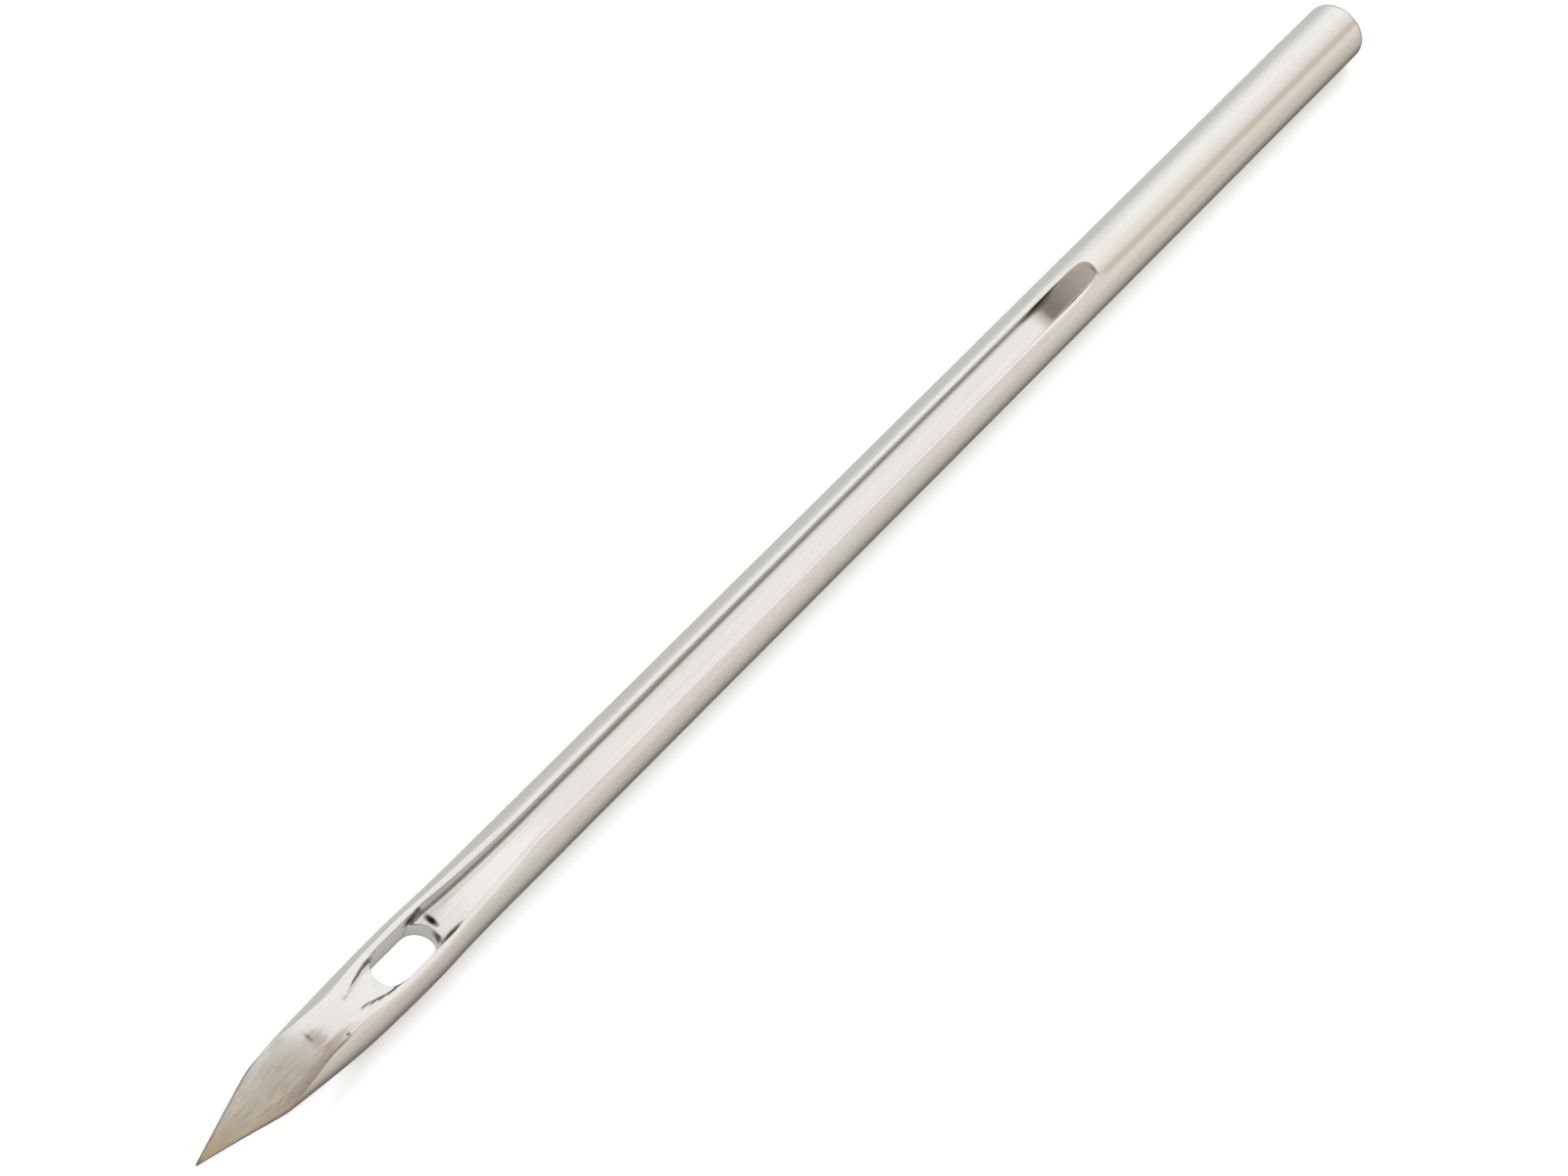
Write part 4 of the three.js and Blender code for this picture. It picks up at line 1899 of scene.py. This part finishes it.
@dataclass(frozen=True)
class Studio:
    """White table, soft light and the camera at the photograph's angle.

    The table is lit by a softbox that the steel doesn't mirror. What the steel mirrors is the
    room round it, and a glowing card on the table with a painted shadow, seen only in
    reflections.

    Attributes:
        table_height: Height of the table's top, in mm.
        swing: Camera's turn towards the tip, out of square to the needle, in degrees.
        lean: Camera's lean towards the near side, in degrees.
        roll: The picture's turn, in degrees.
        focal: Focal length in picture widths.
        sensor: Width of the camera's sensor, in mm.
        aim: Point of the needle that the camera's offset is measured from, in mm.
        offset: Where that point lies from the camera: right, down and forward, in mm.
        table_size: Side of the table, in mm.
        table_white: Colour of the table.
        card_lift: How far the mirrored card lies above the table, in mm.
        bright_patches: Places of the table that the photograph shows overexposed.
        brightest: Brightness that white stands for in the room's ramp.
        room: Brightness of the room by the angle from straight up towards the near side.
        gap: Brightness of the room's ceiling along the needle, by how far along it a direction
            points, because the ceiling is dark between its lights.
        gap_rise: Upward parts of a direction between which the gap fades in.
        gap_middle: How far to the far side a direction to the gap's middle points.
        gap_fade: How far to each side of that the gap starts to fade out, and has.
        card: The mirrored card's glow by the distance across, near side first, with painted
            shadow.
        softbox: The light.
    """

    table_height: float
    swing: float = 32.0
    lean: float = 11.999
    roll: float = 44.9377
    focal: float = 3.33419
    sensor: float = 36.0
    aim: tuple[float, float, float] = (-35.0, 0.0, 0.0)
    offset: tuple[float, float, float] = (1.1798, -1.4377, 190.056)
    table_size: float = 3000.0
    table_white: str = "F4F4F3"
    card_lift: float = 0.005
    bright_patches: tuple[BrightPatch, ...] = (
        BrightPatch((-57.9, 0.28), (1.35, 0.7), 0.9, 0.3),
        BrightPatch((-67.0, 0.0), (5.4, 1.38), 0.3, 0.3),
    )
    brightest: float = 1.6
    room: tuple[Shade, ...] = (
        Shade(-180, 0.8), Shade(-95, 0.92), Shade(-79, 1.12), Shade(-65, 1.33),
        Shade(-53, 1.44), Shade(-38, 1.5), Shade(-19, 1.46), Shade(-8, 1.4, 0.005),
        Shade(2, 1.33, 0.01), Shade(12, 1.24, 0.02), Shade(23, 1.1, 0.03),
        Shade(33, 1.05, 0.04), Shade(44, 1.09, 0.04), Shade(54, 1.13, 0.04),
        Shade(66, 1.13, 0.045), Shade(78, 1.06, 0.05), Shade(90, 0.94, 0.055),
        Shade(180, 0.8, 0.05),
    )
    gap: tuple[Shade, ...] = (
        Shade(-1.0, 1.0), Shade(-0.5, 1.0, 0.01), Shade(-0.35, 0.85, 0.02),
        Shade(-0.2, 0.55, 0.03), Shade(-0.05, 0.36, 0.04), Shade(0.02, 0.27, 0.04),
        Shade(0.08, 0.15, 0.04), Shade(0.155, 0.16, 0.04), Shade(0.195, 0.5, 0.03),
        Shade(0.235, 0.97, 0.01), Shade(0.28, 1.0), Shade(1.0, 1.0),
    )
    gap_rise: tuple[float, float] = (0.3, 0.55)
    gap_middle: float = 0.2
    gap_fade: tuple[float, float] = (0.22, 0.5)
    card: tuple[Shade, ...] = (
        Shade(-60, 0.9, 0.05), Shade(-25, 0.9, 0.05), Shade(-10, 0.88, 0.06),
        Shade(-5.0, 0.77, 0.07), Shade(-3.2, 0.59, 0.08), Shade(-2.3, 0.36, 0.08),
        Shade(-1.7, 0.18, 0.08), Shade(-1.0, 0.25, 0.04), Shade(-0.75, 0.35, 0.03),
        Shade(-0.45, 0.8, 0.02), Shade(0.2, 0.78, 0.02), Shade(0.75, 0.38, 0.03), Shade(1.2, 0.4),
        Shade(1.8, 0.6), Shade(3.0, 0.8), Shade(5.3, 0.87), Shade(25, 0.92), Shade(60, 0.95),
    )
    softbox: Softbox = Softbox("wide_softbox", (0.0, 0.0, 1.0), 0.5, 2.4, 25.0)

    def add_camera(self) -> None:
        """Adds the camera and makes it the scene's."""
        swing, lean, roll = map(math.radians, (self.swing, self.lean, self.roll))
        level_right = Vector((
            math.cos(swing), -math.sin(swing) * math.sin(lean), math.sin(swing) * math.cos(lean),
        ))
        level_down = Vector((0.0, -math.cos(lean), -math.sin(lean)))
        forward = level_right.cross(level_down)
        right = math.cos(roll) * level_right + math.sin(roll) * level_down
        down = math.cos(roll) * level_down - math.sin(roll) * level_right
        axes = Matrix((right, down, forward)).transposed()
        place = Vector(self.aim) - axes @ Vector(self.offset)
        data = bpy.data.cameras.new("camera")
        data.sensor_width = self.sensor
        data.lens = self.focal * self.sensor
        data.clip_start, data.clip_end = 0.01, 10.0
        camera = bpy.data.objects.new("camera", data)
        bpy.context.scene.collection.objects.link(camera)
        camera.matrix_world = Matrix.LocRotScale(
            place * METRES, Matrix((right, -down, -forward)).transposed().to_quaternion(), None,
        )
        bpy.context.scene.camera = camera

    def add_sheet(self, name: str, size: float, height: float) -> bpy.types.Object:
        """Adds a flat square sheet under the needle, which isn't part of it.

        Args:
            name: The sheet's name.
            size: Its side in millimetres.
            height: Its height in millimetres.

        Returns:
            The sheet's object.
        """
        sheet = bmesh.new()
        bmesh.ops.create_grid(sheet, x_segments=1, y_segments=1, size=size / 2)
        bmesh.ops.translate(sheet, vec=Vector((self.aim[0], 0.0, height)), verts=sheet.verts)
        bmesh.ops.scale(sheet, vec=Vector((METRES,) * 3), verts=sheet.verts)
        mesh = bpy.data.meshes.new(name)
        sheet.to_mesh(mesh)
        sheet.free()
        made = bpy.data.objects.new(name, mesh)
        bpy.context.scene.collection.objects.link(made)
        return made

    def add_table(self) -> None:
        """Adds the matt white table, which glows where the eye shows it and round the point."""
        table = self.add_sheet("table", self.table_size, self.table_height)
        table.visible_glossy = False
        # Matt paper, so that the eye sees an even white with nothing mirrored in it
        material = bpy.data.materials.new("matt_white_paper")
        material.use_nodes = True
        tree = material.node_tree
        shader = tree.nodes["Principled BSDF"]
        shader.inputs["Base Color"].default_value = linear(self.table_white)
        shader.inputs["Roughness"].default_value = 1.0
        shader.inputs["Specular IOR Level"].default_value = 0.0
        place = add_node(tree, "ShaderNodeTexCoord").outputs["Object"]
        glow = None
        for patch in self.bright_patches:
            strength = patch.strength(tree, place)
            glow = strength if glow is None else computed(tree, "MAXIMUM", glow, strength)
        shader.inputs["Emission Color"].default_value = linear(self.table_white)
        tree.links.new(glow, shader.inputs["Emission Strength"])
        table.data.materials.append(material)

    def add_card(self) -> None:
        """Adds the glowing card, the table in reflections, with a painted shadow near the needle.
        """
        card = self.add_sheet("reflection_card_painted_shadow", self.table_size, self.table_height + self.card_lift)
        card.visible_camera = False
        card.visible_diffuse = False
        card.visible_shadow = False
        card.visible_transmission = False
        # A glowing sheet whose painted shadow darkens the steel's lower edge and shades its
        # grooves
        material = bpy.data.materials.new("reflection_card_glow_painted_shadow")
        material.use_nodes = True
        tree = material.node_tree
        tree.nodes.clear()
        place = add_node(tree, "ShaderNodeTexCoord").outputs["Object"]
        parts = add_node(tree, "ShaderNodeSeparateXYZ", links={"Vector": place}).outputs
        across = computed(tree, "MULTIPLY", parts["Y"], 1 / METRES)
        glow = add_node(
            tree, "ShaderNodeEmission", links={"Color": ramp(tree, across, self.card, 1.0)},
        )
        add_node(
            tree, "ShaderNodeOutputMaterial", links={"Surface": glow.outputs["Emission"]},
        )
        card.data.materials.append(material)

    def add_room(self) -> None:
        """Adds the white room, bright above the far side and dark between its lights."""
        world = bpy.data.worlds.new("white_room")
        bpy.context.scene.world = world
        world.use_nodes = True
        world.cycles_visibility.diffuse = False
        tree = world.node_tree
        tree.nodes.clear()
        toward = add_node(tree, "ShaderNodeTexCoord").outputs["Generated"]
        parts = add_node(tree, "ShaderNodeSeparateXYZ", links={"Vector": toward}).outputs
        near = computed(tree, "MULTIPLY", parts["Y"], -1.0)
        turn = computed(tree, "ARCTAN2", near, parts["Z"])
        degrees = computed(tree, "DEGREES", turn)
        room = ramp(tree, degrees, self.room, self.brightest)
        gap = ramp(tree, parts["X"], self.gap, 1.0)
        high = mapped(tree, parts["Z"], self.gap_rise, smooth=True)
        aside = computed(tree, "SUBTRACT", parts["Y"], self.gap_middle)
        aside = computed(tree, "ABSOLUTE", aside)
        inner, outer = self.gap_fade
        central = mapped(tree, aside, (outer, inner), smooth=True)
        dark = computed(tree, "MULTIPLY", high, central)
        colour = add_node(
            tree, "ShaderNodeMix", links={MIX_SHARE: dark, MIX_FIRST: room, MIX_SECOND: gap},
            data_type="RGBA", blend_type="MULTIPLY",
        ).outputs[MIX_RESULT]
        light = add_node(
            tree, "ShaderNodeBackground", {"Strength": self.brightest}, {"Color": colour},
        )
        add_node(tree, "ShaderNodeOutputWorld", links={"Surface": light.outputs["Background"]})

    def build(self) -> None:
        """Adds the camera, the table and the light."""
        self.add_camera()
        self.add_table()
        self.add_card()
        self.add_room()
        self.softbox.build(Vector(self.aim) * METRES)
        bpy.context.scene.view_settings.view_transform = "Standard"


def main() -> None:
    """Builds the needle and its studio."""
    logging.basicConfig(level=logging.INFO, format="%(message)s")
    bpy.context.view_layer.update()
    awl_needle = AwlNeedle()
    Studio(table_height=-awl_needle.bar.radius).build()
    LOG.info("studio built")
    needle = awl_needle.build()
    awl_needle.dress(needle)
    LOG.info("%s built and dressed, %d faces", needle.name, len(needle.data.polygons))


if __name__ == "__main__":
    main()
